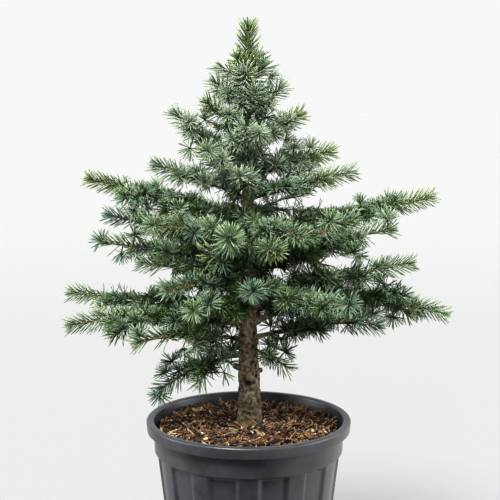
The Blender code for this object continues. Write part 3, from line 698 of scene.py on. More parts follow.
# %% [markdown]
# A chip is a small box with one more row of points along it, so that a noise can bend it. Points are strewn
# over the bed, each gets a box with a turn, a tilt and a size of its own, and all are bent at once.

# %% The tree that strews chips
CHIP_SEED = 7
BEND_SCALE = 240.0


def random_vector(tree, least, most, seed):
    inputs = {0: least, 1: most, "Seed": seed}
    return result_of(tree, "FunctionNodeRandomValue", inputs, data_type="FLOAT_VECTOR")


def strewing_tree():
    sizes = {"Density": "Float", "Least Size": "Vector", "Most Size": "Vector", "Tilt": "Float"}
    sizes |= {"Lift": "Float", "Roughness": "Float", "Limit": "Float", "Seed": "Int"}
    tree, given = geometry_tree("strewn_chips", sizes)
    strewn = {"Mesh": given["Geometry"], "Density": given["Density"], "Seed": given["Seed"]}
    strewn = result_of(tree, "GeometryNodeDistributePointsOnFaces", strewn)
    chip = {"Size": (1.0, 1.0, 1.0), "Vertices X": 3, "Vertices Y": 2, "Vertices Z": 2}
    chip = result_of(tree, "GeometryNodeMeshCube", chip)
    tilt = given["Tilt"]
    back = calculate(tree, "MULTIPLY", tilt, -1.0)
    lowest = combine(tree, back, back, 0.0)
    highest = combine(tree, tilt, tilt, 2 * math.pi)
    lean = random_vector(tree, lowest, highest, given["Seed"])
    size = random_vector(tree, given["Least Size"], given["Most Size"], CHIP_SEED)
    chips = copies(tree, strewn, chip, Rotation=lean, Scale=size)
    real = result_of(tree, "GeometryNodeRealizeInstances", {0: chips})
    # A noise of a few millimetres bends the slabs out of square
    place = position(tree)
    wave = add_node(tree, "ShaderNodeTexNoise", {"Vector": place, "Scale": BEND_SCALE, "Detail": 1.0})
    middle = calculate_vector(tree, "SUBTRACT", wave.outputs["Color"], (0.5, 0.5, 0.5))
    bend = scale_vector(tree, middle, given["Roughness"])
    shift = calculate_vector(tree, "ADD", bend, combine(tree, z=given["Lift"]))
    bent = move_points(tree, real, Offset=shift)
    # What would stick out through the pot's wall is pressed back inside
    flat = calculate_vector(tree, "MULTIPLY", place, (1.0, 1.0, 0.0))
    ratio = calculate(tree, "DIVIDE", given["Limit"], length_of_vector(tree, flat))
    least = calculate(tree, "MINIMUM", ratio, 1.0)
    inside = calculate_vector(tree, "MULTIPLY", place, combine(tree, least, least, 1.0))
    end_tree(tree, given, move_points(tree, bent, Position=inside), smooth=False)
    return tree


# %% Strew the chips
STREW_OUTER = 0.1360
STREW_LIMIT = 0.1395
STREW_INNER = 0.0235
CHIP_LIFT = 0.0014
CHIP_BEND = 0.0080
# name, dark and light colour, chips per square metre, least and most length, width and thickness, tilt, seed
CHIPS = (
    # The dark run is nearly black: partly dark bark, partly painted shade among the chips
    ("dark", "#050301", "#26180F", 22000, (0.008, 0.002, 0.0012), (0.026, 0.007, 0.0034), 0.60, 3),
    ("brown", "#261910", "#5E452E", 18000, (0.008, 0.002, 0.0010), (0.034, 0.007, 0.0024), 0.50, 5),
    ("russet", "#4E3422", "#8E694A", 11000, (0.008, 0.0015, 0.0009), (0.032, 0.005, 0.0020), 0.50, 8),
    ("grey", "#453A2E", "#8A7A68", 6000, (0.008, 0.0015, 0.0009), (0.032, 0.005, 0.0022), 0.50, 11),
    ("tan", "#8A6E50", "#C8B08E", 6600, (0.010, 0.0012, 0.0009), (0.034, 0.0036, 0.0018), 0.55, 13),
    ("straw", "#D0BC9A", "#ECE0CA", 3800, (0.008, 0.001, 0.0008), (0.026, 0.0024, 0.0015), 0.55, 21),
    ("fibre", "#523B26", "#AA8862", 25000, (0.016, 0.0008, 0.0006), (0.050, 0.0015, 0.0011), 0.60, 34),
    ("crumb", "#0A0603", "#3C2A1B", 24000, (0.002, 0.002, 0.0015), (0.007, 0.006, 0.0040), 0.80, 47),
    ("grain", "#D8D4CC", "#F2F0EA", 500, (0.002, 0.002, 0.0015), (0.004, 0.004, 0.0030), 0.60, 55),
)


def fill_pot():
    bed = make_bed()
    # The bed is painted nearly black: painted shade where it shows between the chips
    bed.data.materials.append(shredded_bark("bed", "#0B0704", "#241811"))
    finish_piece(bed, "bark_mulch", "soil")
    tree = strewing_tree()
    for name, dark, light, density, least, most, tilt, seed in CHIPS:
        # The bed's top between the trunk and the wall is the sheet for the chips to lie on
        sheet = new_object("mulch_" + name, bed_rings(STREW_INNER, STREW_OUTER), faces=ring_faces(0, BED_RINGS))
        sizes = {"Density": float(density), "Least Size": least, "Most Size": most, "Tilt": tilt}
        sizes |= {"Lift": CHIP_LIFT, "Roughness": CHIP_BEND, "Limit": STREW_LIMIT, "Seed": seed}
        grow(sheet, tree, shredded_bark(name, dark, light), sizes)
        finish_piece(sheet, "bark_mulch")


fill_pot()

# %% [markdown]
# ## The skeleton
# The trunk's path and every bough's path follow the rule that shaped the solids, written again here: a
# swaying tapering trunk, boughs given by root height, tip height, reach and bearing, and side twigs left
# and right in turn. With the same seeds the same twigs come out, so the fine growth lies where the solids do.

# %% The trunk's rule
TREE_HEIGHT = 0.607
TRUNK_HEIGHT = trunk_high.z - trunk_low.z
FOOT_RADIUS = 0.0183
TIP_RADIUS = 0.0010
TAPER_POWER = 1.05
SWAY = 0.0018
SWAY_LENGTH = 0.38
SWAY_FADE = 0.6
CROOK = -0.0040
CROOK_HEIGHT = 0.353
CROOK_SPAN = 0.028
TRUNK_RINGS = (0.0, 0.008, 0.020, 0.045, 0.090, 0.140, 0.190, 0.240, 0.280)
TRUNK_RINGS += (0.315, 0.334, 0.353, 0.372, 0.391, 0.430, 0.475, TRUNK_HEIGHT)


def ring_centre(height):
    turn = 2 * math.pi * height / SWAY_LENGTH
    crook = CROOK * math.exp(-(((height - CROOK_HEIGHT) / CROOK_SPAN) ** 2))
    fade = 1 - SWAY_FADE * height / TREE_HEIGHT
    return Vector((SWAY * math.cos(turn) * fade + crook, SWAY * math.sin(turn) * fade, FOOT_Z + height))


def ring_radius(height):
    share = max(0.0, 1 - height / TREE_HEIGHT)
    return TIP_RADIUS + (FOOT_RADIUS - TIP_RADIUS) * share**TAPER_POWER


RING_CENTRES = [ring_centre(height) for height in TRUNK_RINGS]
RING_XS = [centre.x for centre in RING_CENTRES]
RING_YS = [centre.y for centre in RING_CENTRES]
RING_RADII = [ring_radius(height) for height in TRUNK_RINGS]


def trunk_centre(height):
    if height > TRUNK_HEIGHT:
        return ring_centre(height)
    x, y = (float(np.interp(height, TRUNK_RINGS, values)) for values in (RING_XS, RING_YS))
    return Vector((x, y, FOOT_Z + height))


def trunk_radius(height):
    return float(np.interp(height, TRUNK_RINGS, RING_RADII))


def off_trunk(points):
    """How far points lie from the trunk's bark, for a whole array of them."""
    heights = np.clip(points[:, 2] - FOOT_Z, 0.0, TRUNK_HEIGHT)
    x = points[:, 0] - np.interp(heights, TRUNK_RINGS, RING_XS)
    y = points[:, 1] - np.interp(heights, TRUNK_RINGS, RING_YS)
    z = np.maximum(0.0, points[:, 2] - FOOT_Z - TRUNK_HEIGHT)
    return np.sqrt(x**2 + y**2 + z**2) - np.interp(heights, TRUNK_RINGS, RING_RADII)


# %% [markdown]
# A cedar's boughs leave the trunk in loose tiers and arch a little. Each could be drawn as a curve by hand,
# but a few numbers and a small sway say the same and are easy to change.

# %% The boughs and the leading shoot
Bough = namedtuple("Bough", "name root_height tip_height reach bearing arch limb")
# Name, heights of root and tip above the mulch and reach from the trunk's axis to the tip of the wood in mm,
# bearing in degrees from +X towards +Y, so that 270 is the front, how far the middle stands above the chord
# in mm, and whether there is a bare limb
BOUGH_ROWS = (
    ("hem_left", 109, 65, 138, 197, 12, 1), ("hem_right", 117, 98, 66, 330, 6, 0),
    ("low_left_front", 128, 150, 186, 213, 14, 1), ("low_left", 158, 166, 266, 189, 10, 1),
    ("low_left_rear", 186, 196, 282, 169, 0, 1), ("low_right_front", 132, 166, 199, 345, 12, 1),
    ("low_right", 158, 171, 304, 4, 28, 1), ("low_front_right", 184, 214, 213, 310, 6, 1),
    ("low_front_left", 178, 205, 150, 239, 6, 0), ("low_front", 200, 234, 160, 274, 4, 0),
    ("low_rear_right", 172, 186, 228, 48, 4, 0), ("low_rear_left", 150, 172, 228, 130, 4, 0),
    ("low_rear", 196, 210, 205, 92, 4, 0), ("mid_right", 206, 259, 242, 350, 0, 1),
    ("mid_right_high", 258, 311, 214, 346, 0, 0), ("mid_left", 248, 290, 213, 192, 4, 1),
    ("mid_left_low", 226, 262, 165, 203, 4, 0), ("mid_left_front", 218, 232, 168, 226, 4, 0),
    ("mid_left_rear", 266, 321, 224, 164, 4, 0), ("mid_front", 246, 314, 178, 261, 4, 1),
    ("mid_front_right", 258, 333, 196, 317, 0, 0), ("mid_front_low", 264, 290, 140, 287, 0, 0),
    ("mid_rear_right", 236, 268, 204, 33, 4, 0), ("mid_rear", 262, 296, 172, 74, 4, 0),
    ("mid_rear_left", 232, 262, 200, 143, 4, 0), ("high_left", 302, 382, 236, 180, 6, 1),
    ("high_right", 290, 350, 284, 9, 2, 1), ("high_left_front", 292, 320, 164, 213, 4, 0),
    ("high_front_right", 302, 309, 146, 303, 4, 0), ("high_rear_left", 304, 334, 150, 118, 2, 0),
    ("upper_left", 354, 405, 135, 190, 2, 0), ("upper_left_high", 384, 480, 110, 172, 0, 0),
    ("upper_front_left", 344, 426, 90, 229, 0, 0), ("upper_right", 350, 394, 154, 354, 2, 0),
    ("upper_right_rear", 386, 423, 125, 14, 2, 0), ("upper_rear_right", 326, 354, 140, 52, 2, 0),
    ("upper_rear_left", 390, 434, 98, 122, 0, 0), ("top_left", 444, 496, 64, 201, 0, 0),
    ("top_right", 440, 478, 74, 348, 0, 0), ("top_front", 414, 462, 70, 266, 0, 0),
    ("top_rear", 434, 474, 68, 80, 0, 0), ("crest_left", 486, 528, 49, 170, 0, 0),
    ("crest_right", 478, 520, 48, 8, 0, 0), ("crest_front", 470, 514, 40, 285, 0, 0),
)
BOUGHS = [
    Bough(name, root / 1000, tip / 1000, reach / 1000, bearing, arch / 1000, bool(limb))
    for name, root, tip, reach, bearing, arch, limb in BOUGH_ROWS
]
# Twigs of the leading shoot: height on it, bearing, length and rise in degrees
LEADER_TWIGS = (
    (0.005, 184, 0.044, 30),
    (0.005, 352, 0.032, 46),
    (0.004, 262, 0.034, 24),
    (0.004, 92, 0.034, 24),
    (0.020, 222, 0.028, 44),
    (0.022, 40, 0.026, 46),
)

# %% The boughs' rule
LIMB_THICKNESS = 0.0016
LIMB_THICKNESS_PER_REACH = 0.0115
LIMB_COLLAR = 1.35
LIMB_COLLAR_SHARE = 0.12
LIMB_WIDE_SHARE = 0.2
LIMB_TAPER = 0.68
LIMB_BARE_LEAST = 0.012
LIMB_BARE_SHARE = 0.09
WEAVE = 0.022
WEAVE_TURN = 0.7
AXIS_POINTS = 40
AXIS_SAMPLE = 0.005
GAP = 0.0003
SLIDE_STEP = 0.00005
STEM_STEP = 0.0165
STEM_SHARE = 0.96
DIRECT_STEM_SHARE = 0.80


def bough_axis(bough):
    """Points from the trunk's middle to the tip of the wood, evenly spaced along a low arch."""
    out = towards(math.radians(bough.bearing))
    side = Vector((-out.y, out.x, 0.0))
    root = trunk_centre(bough.root_height)
    weave = bough.reach * WEAVE
    phase = bough.bearing * WEAVE_TURN
    points = []
    for s in evenly(0.0, 1.0, AXIS_POINTS):
        rise = (bough.tip_height - bough.root_height) * s + bough.arch * 4 * s * (1 - s)
        sway = weave * (math.sin(2 * math.pi * s + phase) - math.sin(phase) * (1 - s)) * s
        points.append(root + out * bough.reach * s + side * sway + Vector((0, 0, rise)))
    return points


def along(points, distance):
    """Place and direction at a distance along a line of points."""
    left = distance
    for a, b in zip(points, points[1:]):
        length = (b - a).length
        if left <= length:
            return a + (b - a) * (left / length), (b - a).normalized()
        left -= length
    last = (points[-1] - points[-2]).normalized()
    return points[-1] + last * left, last


def length_of(points):
    return sum((b - a).length for a, b in zip(points, points[1:]))


def limb_radius(bough, share):
    thick = LIMB_THICKNESS + LIMB_THICKNESS_PER_REACH * bough.reach
    collar = 1 + (LIMB_COLLAR - 1) * math.exp(-share / LIMB_COLLAR_SHARE)
    return thick * collar * (1 - (1 - LIMB_TAPER) * share)


def bark_distance(axis, radius):
    """Distance along an axis to where a stem can start with no edge of its foot in the bark."""
    distance = 0.0
    clear = GAP + radius**2 / (8 * trunk_radius(axis[0].z - FOOT_Z))
    while off_trunk(np.array([along(axis, distance)[0]]))[0] < clear:
        distance += SLIDE_STEP
    return distance


def limb_length(bough, axis):
    if not bough.limb:
        return 0.0
    return bark_distance(axis, limb_radius(bough, 0.0)) + LIMB_BARE_LEAST + LIMB_BARE_SHARE * bough.reach


def stem_radius(bough):
    if bough.limb:
        return limb_radius(bough, 1.0) * STEM_SHARE
    return limb_radius(bough, 0.5) * DIRECT_STEM_SHARE


def bough_stem(bough, axis):
    start = limb_length(bough, axis) + GAP if bough.limb else bark_distance(axis, stem_radius(bough))
    total = length_of(axis)
    count = max(2, round((total - start) / STEM_STEP))
    return [along(axis, distance)[0] for distance in evenly(start, total, count)]


# %% [markdown]
# Each mass of foliage keeps to its own space: the points that lie nearer its own bough than any other,
# clear of the trunk, the limbs and the pot. The solids keep a margin between masses. The fine needles may
# reach a little past it, so that no straight seam of sky shows between two boughs.

# %% Each bough's own space
SPACE_MARGIN = 0.0022
LIMB_MARGIN = 0.0022


def samples(points, step):
    """Places along a line of points, as an array, a step or less apart."""
    total = length_of(points)
    count = max(2, int(total / step) + 1)
    return np.array([along(points, distance)[0] for distance in evenly(0.0, total, count - 1)])


def nearest(points, places):
    """For each point, the distance to the nearest of some places."""
    gaps = points[:, None, :] - places[None, :, :]
    return np.sqrt((gaps**2).sum(axis=2)).min(axis=1)


class Space:
    """The room that one mass may fill."""

    def __init__(self, name, axes, limbs):
        self.own = axes[name]
        self.others = np.concatenate([places for other, places in axes.items() if other != name])
        self.limbs = [limb for other, limb in limbs.items() if other != name]

    def keeps(self, spots, margin=SPACE_MARGIN, limb_margin=LIMB_MARGIN):
        """For each spot, whether it lies inside."""
        inside = nearest(spots, self.others) - nearest(spots, self.own) >= 2 * margin
        inside &= off_trunk(spots) >= limb_margin
        for places, radius in self.limbs:
            inside &= nearest(spots, places) >= radius + limb_margin
        return inside & (spots[:, 2] > POT_HEIGHT + SPACE_MARGIN)

    def holds(self, points):
        return bool(self.keeps(np.array([tuple(p) for p in points])).all())


# %% The twigs' rule
TWIG_STEP = 0.0150
TWIG_EVERY = 2
SHORT_STEM_STEPS = 5
TWIG_ANGLE = math.radians(50)
TWIG_LIFT = (math.radians(-24), math.radians(13))
TWIG_CURL = 0.03
TWIG_LEAST = 0.028
TWIG_MOST = 0.066
TWIG_SHARE = 0.48
# Directions with less level length than this count as upright
UPRIGHT = 0.2
# Least share of the angle and of the length, and how much chance adds
ANGLE_CHANCE = (0.85, 0.3)
LENGTH_CHANCE = (0.8, 0.4)


def aside(ahead, hand, angle, lift):
    """A direction that leaves another to one hand by an angle, and rises from it by a second one."""
    side = Vector((0, 0, 1)).cross(ahead)
    if side.length < UPRIGHT:
        side = Vector((1, 0, 0)).cross(ahead)
    side.normalize()
    up = ahead.cross(side).normalized()
    level = ahead * math.cos(angle) + side * hand * math.sin(angle)
    return (level * math.cos(lift) + up * math.sin(lift)).normalized()


def twig_points(start, direction, length, space, step):
    """A side twig that curves up a little and stops where its space ends."""
    count = max(2, round(length / step))
    points = [start]
    heading = direction.copy()
    for _ in range(count):
        heading = (heading + Vector((0, 0, TWIG_CURL))).normalized()
        place = points[-1] + heading * length / count
        if len(points) > 1 and not space.holds([place, points[-1].lerp(place, 0.5)]):
            break
        points.append(place)
    return points


def some(chance, chooser):
    """A share with its least value, and what chance adds."""
    return chance[0] + chance[1] * chooser.random()


def side_twigs(stem, space, chooser):
    """Twigs left and right of a stem in turn, longer where more of the stem lies ahead."""
    steps = len(stem) - 1
    hand = 1 if chooser.random() < 0.5 else -1
    found = []
    for k in range(1, steps - 1, 1 if steps <= SHORT_STEM_STEPS else TWIG_EVERY):
        ahead = (stem[k + 1] - stem[k]).normalized()
        angle = TWIG_ANGLE * some(ANGLE_CHANCE, chooser)
        direction = aside(ahead, hand, angle, between(*TWIG_LIFT, chooser.random()))
        part = TWIG_SHARE * some(LENGTH_CHANCE, chooser)
        length = min(TWIG_MOST, max(TWIG_LEAST, part * length_of(stem[k:])))
        points = twig_points(stem[k], direction, length, space, TWIG_STEP)
        if len(points) > 2:
            found.append(points)
        hand = -hand
    return found


# %% [markdown]
# The solids stop at one order of side twigs. The real tree has more: short twigs fill in between the long
# ones, and each long twig has twiglets of its own. They come from the same rule at a finer step, with a
# seed of their own.

# %% The finer twigs
FINE_STEP = 0.0085
FINE_EVERY = 0.0120
FINE_FIRST = 0.010
FINE_LEAST = 0.012
FINE_MOST = 0.034
FINE_SHARE = 0.55
FINE_ANGLE = math.radians(52)
FINE_LIFT = (math.radians(-14), math.radians(24))
FINE_ANGLE_CHANCE = (0.8, 0.4)
FINE_LENGTH_CHANCE = (0.7, 0.6)
FINE_STEP_CHANCE = (0.75, 0.5)


def finer_twigs(line, space, chooser, free=0.0):
    """Short twigs along a line, left and right in turn, the further ones shorter, none on its free end."""
    total = length_of(line) - free
    hand = 1 if chooser.random() < 0.5 else -1
    distance = FINE_FIRST + FINE_EVERY * chooser.random()
    found = []
    while distance < total - FINE_LEAST:
        place, ahead = along(line, distance)
        angle = FINE_ANGLE * some(FINE_ANGLE_CHANCE, chooser)
        direction = aside(ahead, hand, angle, between(*FINE_LIFT, chooser.random()))
        length = FINE_SHARE * (total - distance) * some(FINE_LENGTH_CHANCE, chooser)
        length = min(FINE_MOST, max(FINE_LEAST, length))
        points = twig_points(place, direction, length, space, FINE_STEP)
        if len(points) > 1:
            found.append(points)
        distance += FINE_EVERY * some(FINE_STEP_CHANCE, chooser)
        hand = -hand
    return found


# %% The leading shoot


def leader_axis():
    middle = (TRUNK_HEIGHT + TREE_HEIGHT) / 2
    return [trunk_centre(height) for height in (TRUNK_HEIGHT, middle, TREE_HEIGHT)]


def leader_twigs():
    """Foot, direction and length of each twig of the leading shoot."""
    found = []
    for height, bearing, length, rise in LEADER_TWIGS:
        tilt = math.radians(rise)
        direction = towards(math.radians(bearing)) * math.cos(tilt) + Vector((0.0, 0.0, math.sin(tilt)))
        found.append((along(leader_axis(), height)[0], direction, length))
    return found


# %% [markdown]
# A rule alone grows an even crown. On the real tree sky shows through in places, and single bursts stand
# out. Each could be pruned or placed by hand. Here a list of windows holds needles back and a list of
# marked twigs puts a burst at each place, so the crown can be grown again at any time.

# %% Windows of sky and marked twigs
# Sky shows through the crown from the front in these places: x, z, half width and half height in mm, as they
# fall on the upright plane through the trunk. The last three show the trunk itself
WINDOWS = (
    (-53, 638, 17, 9), (-88, 645, 12, 6), (50, 627, 48, 11), (125, 622, 46, 8), (136, 530, 30, 11),
    (44, 517, 10, 7), (99, 514, 8, 5), (21, 457, 7, 16), (27, 427, 9, 6), (-91, 481, 11, 6),
    (-224, 457, 14, 6), (-201, 582, 25, 5), (215, 503, 9, 5), (6, 756, 4, 8), (-48, 753, 9, 8),
    (42, 709, 12, 6), (-132, 399, 44, 10), (-193, 667, 21, 6), (-199, 492, 46, 8), (274, 487, 23, 11),
    (150, 432, 19, 6), (-129, 516, 18, 8), (189, 638, 12, 6), (36, 664, 11, 5), (60, 356, 9, 6),
    (22, 400, 6, 8), (-23, 421, 5, 8), (-128, 649, 12, 6), (-40, 842, 13, 6), (198, 568, 21, 7),
    (-165, 486, 12, 6), (-211, 548, 24, 8), (-34, 361, 12, 12), (-66, 342, 12, 6), (-9, 633, 10, 18),
    (2, 565, 6, 12), (-1, 750, 5, 12),
)
WINDOW_NEEDLES = 0.10
# Where some twigs end, in mm, and whether the burst at the end faces the front
MARKED_TWIGS = (
    (30, -131, 569, 1), (-8, -24, 604, 1), (62, -35, 556, 1), (85, -98, 579, 1), (6, -174, 515, 1),
    (96, -108, 491, 1), (139, -178, 497, 1), (-105, -32, 615, 1), (-137, -102, 599, 1), (-122, -48, 552, 1),
    (-80, -71, 583, 1), (-157, -18, 636, 1), (-78, -138, 481, 1), (-56, -138, 491, 1), (-205, -41, 445, 1),
    (-167, -51, 447, 1), (-59, -82, 706, 1), (-13, -64, 667, 1), (-10, -17, 771, 1), (15, -74, 730, 1),
    (202, -22, 605, 1), (154, -68, 555, 1), (-110, -64, 450, 1), (-38, -111, 547, 1), (115, -139, 609, 1),
    (52, -120, 494, 1), (40, -16, 680, 1), (-88, -15, 734, 1), (-66, -11, 749, 0), (-88, -16, 707, 0),
    (31, -2, 813, 0), (55, -11, 719, 0), (-32, -10, 376, 0), (-24, -7, 394, 0), (33, -10, 433, 0),
    (47, -12, 414, 0), (56, -15, 393, 0), (30, -14, 404, 0), (207, -54, 601, 0), (178, 107, 525, 0),
    (72, 4, 513, 0), (202, -8, 500, 0), (173, -25, 448, 0), (225, 5, 445, 0), (-136, -38, 332, 0),
    (-219, -48, 570, 0), (-160, -95, 435, 0), (-37, -52, 370, 0), (-59, -30, 401, 0), (-42, -30, 398, 0),
    (-27, -20, 394, 0), (-74, -40, 399, 0), (-49, -50, 413, 0), (21, 30, 610, 0), (36, 30, 612, 0),
    (53, 20, 611, 0), (69, 20, 610, 0), (83, 0, 609, 0), (63, 0, 670, 0), (78, 0, 665, 0), (92, 0, 671, 0),
    (152, -60, 478, 1), (-207, -30, 438, 1), (2, -110, 506, 1), (14, -50, 726, 1), (-148, -50, 619, 0),
    (-170, -50, 616, 0), (-170, -50, 579, 0), (-88, -20, 746, 0), (94, -10, 708, 0), (68, -10, 706, 0),
    (220, -30, 490, 0), (207, -30, 497, 0), (232, -30, 483, 0), (190, -30, 455, 0), (-100, -36, 405, 0),
    (-127, -36, 365, 0), (-117, -36, 383, 0), (-190, -45, 553, 0),
)
FACE_FRONT = Vector((0.0, 0.006, -0.002))
# Where the last bend of the others lies on the way to the tip, and how far out they count for their tint
LAST_BEND = 0.6
MARKED_REACH = 0.2
THIN_TWIG = (0.0012, 0.0009)
# Order 0 is a bough's own stem, 1 a side twig, 2 a finer twig, 3 the outer part of a bare limb and 4 a
# twig that ends at a marked place
Line = namedtuple("Line", "points first_radius last_radius order bough reach")


def in_windows(spots):
    """For each spot, whether it is seen in a window from the camera's place."""
    depth = -CAMERA_PLACE[1] / (spots[:, 1] - CAMERA_PLACE[1])
    x = spots[:, 0] * depth
    z = CAMERA_PLACE[2] + (spots[:, 2] - CAMERA_PLACE[2]) * depth
    seen = np.zeros(len(spots), dtype=bool)
    for window in WINDOWS:
        middle_x, middle_z, half_width, half_height = (size / 1000 for size in window)
        seen |= ((x - middle_x) / half_width) ** 2 + ((z - middle_z) / half_height) ** 2 < 1
    return seen


def marked_twigs(lines):
    """A twig from the nearest wood to each marked place."""
    wood = [(place, line.bough) for line in lines for place in samples(line.points, AXIS_SAMPLE)]
    places = np.array([place for place, _ in wood])
    found = []
    for *place, facing in MARKED_TWIGS:
        spot = np.array(place) / 1000
        tip = Vector(spot)
        which = int(np.linalg.norm(places - spot, axis=1).argmin())
        foot = Vector(places[which])
        last = tip + FACE_FRONT if facing else foot.lerp(tip, LAST_BEND)
        found.append(Line([foot, last, tip], *THIN_TWIG, 4, wood[which][1], MARKED_REACH))
    return found


# %% [markdown]
# Between the boughs the real trunk bears short twigs all round, which hide most of it. Each stands a golden
# angle on from the last, as buds do, so no two are in a row. Where bark shows in front they are left out.

# %% Short twigs on the trunk
# Heights of the lowest and highest, rise from one to the next, and lengths
TRUNK_TWIG_LOW = 0.150
TRUNK_TWIG_HIGH = 0.512
TRUNK_TWIG_RISE = 0.0042
TRUNK_TWIG_LENGTH = (0.006, 0.026)
TRUNK_TWIG_SLOPE = (0.1, 0.7)
TRUNK_TWIG_CURL = 0.25
TRUNK_REACH = 0.10
FOOT_SUNK = 0.9
TRUNK_SEED = 9000
# Stretches of the trunk that are bare in front: lowest and highest height
BARE_STRETCHES = ((0.146, 0.196), (0.338, 0.372), (0.458, 0.478))
BARE_FRONT = math.radians(75)
TIER_TOPS = {"low": 0.21, "mid": 0.28, "high": 0.34, "upper": TREE_HEIGHT}
GOLDEN = math.pi * (3 - math.sqrt(5))


def trunk_twigs():
    """Short twigs all round the trunk, left out where its front is bare."""
    chooser = random.Random(TRUNK_SEED)
    found = []
    height = TRUNK_TWIG_LOW
    turn = 0.0
    while height < TRUNK_TWIG_HIGH:
        turn = (turn + GOLDEN) % (2 * math.pi)
        height += TRUNK_TWIG_RISE
        from_front = abs((turn - 1.5 * math.pi + math.pi) % (2 * math.pi) - math.pi)
        length = between(*TRUNK_TWIG_LENGTH, chooser.random())
        out = towards(turn, some(TRUNK_TWIG_SLOPE, chooser)).normalized()
        if from_front < BARE_FRONT and any(low < height < high for low, high in BARE_STRETCHES):
            continue
        foot = trunk_centre(height) + out * trunk_radius(height) * FOOT_SUNK
        middle = foot + out * length * 0.5
        tip = middle + (out + Vector((0, 0, TRUNK_TWIG_CURL))).normalized() * length * 0.5
        tier = next(tier for tier, top in TIER_TOPS.items() if height < top)
        found.append(Line([foot, middle, tip], *THIN_TWIG, 2, tier + "_trunk", TRUNK_REACH))
    return found


# %% [markdown]
# Now the rules run in turn: each bough's stem, its side twigs, the outer part of its bare limb and the finer
# twigs. Every line keeps its bough's name and reach, which later decide its space and its tint.

# %% Grow every line of the crown
TWIG_RADIUS = 0.0017
TWIG_RADIUS_SHARE = 0.8
STEM_TIP_RADIUS = 0.0010
# Radii of finer twigs beside a side twig's, and of the leader's twigs beside a tip's
FINE_FOOT_SHARE = 0.75
FINE_TIP_SHARE = 0.8
LEADER_TWIG_SHARE = 1.4
LEADER_REACH = 0.06
SEED_STEP = 100
FINE_SEED = 5000
LIMB_SPUR_SHARES = (0.42, 0.6, 0.8, 1.0)
# How much of a stem, and of a side twig, is this year's shoot
YOUNG_SHARE = (0.33, 0.40, 0.0, 0.0)
YOUNG_MOST = 0.058
# Boughs whose shoot is longer than that, and the end share of every shoot that bears no side twigs
LONG_SHOOTS = {"mid_right": 0.076, "mid_right_high": 0.064, "low_right": 0.066}
BARE_END = 0.72


def limb_space(bough, path):
    """The points of a bare limb and how thick it is, which other masses keep clear of."""
    end = limb_length(bough, path) + STEM_STEP
    total = length_of(path)
    reached = [k for k in range(AXIS_POINTS + 1) if total * k / AXIS_POINTS <= end]
    return np.array([tuple(path[k]) for k in reached]), limb_radius(bough, LIMB_WIDE_SHARE)


def limb_end(bough, path):
    """The outer part of a bare limb, which bears spurs and finer twigs."""
    skin = bark_distance(path, limb_radius(bough, 0.0))
    bare = limb_length(bough, path) - skin
    outer = [along(path, skin + bare * share)[0] for share in LIMB_SPUR_SHARES]
    return Line(outer, limb_radius(bough, 0.5), limb_radius(bough, 1.0), 3, bough.name, bough.reach)


def bough_lines(bough, path, space, number):
    """A bough's stem, its side twigs, its limb's outer part and the finer twigs on all of them."""
    stem = bough_stem(bough, path)
    thick = stem_radius(bough)
    first = min(TWIG_RADIUS, thick * TWIG_RADIUS_SHARE)
    found = [Line(stem, thick, STEM_TIP_RADIUS, 0, bough.name, bough.reach)]
    shoot = min(LONG_SHOOTS.get(bough.name, YOUNG_MOST), YOUNG_SHARE[0] * length_of(stem))
    for twig in side_twigs(stem, space, random.Random(SEED + SEED_STEP * number)):
        if (stem[-1] - twig[0]).length > shoot * BARE_END:
            found.append(Line(twig, first, STEM_TIP_RADIUS, 1, bough.name, bough.reach))
    if bough.limb:
        found.append(limb_end(bough, path))
    chooser = random.Random(FINE_SEED + number)
    for bearer in list(found):
        for twig in finer_twigs(bearer.points, space, chooser, shoot if bearer.order == 0 else 0.0):
            radii = (first * FINE_FOOT_SHARE, STEM_TIP_RADIUS * FINE_TIP_SHARE)
            found.append(Line(twig, *radii, 2, bough.name, bough.reach))
    return found


def leader_lines(space):
    found = [Line(leader_axis(), trunk_radius(TRUNK_HEIGHT), STEM_TIP_RADIUS, 0, "leader", LEADER_REACH)]
    for foot, direction, length in leader_twigs():
        twig = twig_points(foot, direction, length, space, TWIG_STEP)
        radii = (STEM_TIP_RADIUS * LEADER_TWIG_SHARE, STEM_TIP_RADIUS)
        found.append(Line(twig, *radii, 1, "leader", LEADER_REACH))
    return found


def grow_skeleton():
    """The path and the space of each bough, and all lines of wood beyond the trunk."""
    paths = {bough.name: bough_axis(bough) for bough in BOUGHS}
    axes = {name: samples(path, AXIS_SAMPLE) for name, path in paths.items()}
    limbs = {bough.name: limb_space(bough, paths[bough.name]) for bough in BOUGHS if bough.limb}
    rods = [leader_axis()] + [[foot, foot + way * length] for foot, way, length in leader_twigs()]
    axes["leader"] = np.concatenate([samples(rod, AXIS_SAMPLE) for rod in rods])
    spaces = {name: Space(name, axes, limbs) for name in axes}
    lines = []
    for number, bough in enumerate(BOUGHS):
        lines += bough_lines(bough, paths[bough.name], spaces[bough.name], number)
    lines += leader_lines(spaces["leader"])
    hidden = in_windows(np.array([tuple(line.points[-1]) for line in lines]))
    lines = [line for line, gone in zip(lines, hidden) if line.order != 2 or not gone]
    lines += trunk_twigs()
    return paths, spaces, lines + marked_twigs(lines)


paths, spaces, lines = grow_skeleton()
for order in range(5):
    metres = sum(length_of(line.points) for line in lines if line.order == order)
    print(f"order {order}: {sum(line.order == order for line in lines)} lines, {metres:.2f} m")

# %% [markdown]
# ## Wood and bark
# Everything woody is a tube along a path that gets thinner: trunk, boughs, twigs and shoots. One Geometry
# Nodes tree makes them all. The path's attribute "thickness" gives the radius at each point, and a noise
# stretched along the path raises the bark's plates where the tube is thick enough to show them.

# %% The tree that wraps bark round a path
# Detail and roughness of the noise that draws the plates, and how its values turn into a rise
PLATE_NOISE = (4.0, 0.55)
PLATE_RISE = (0.36, 0.60, -0.6, 0.4)


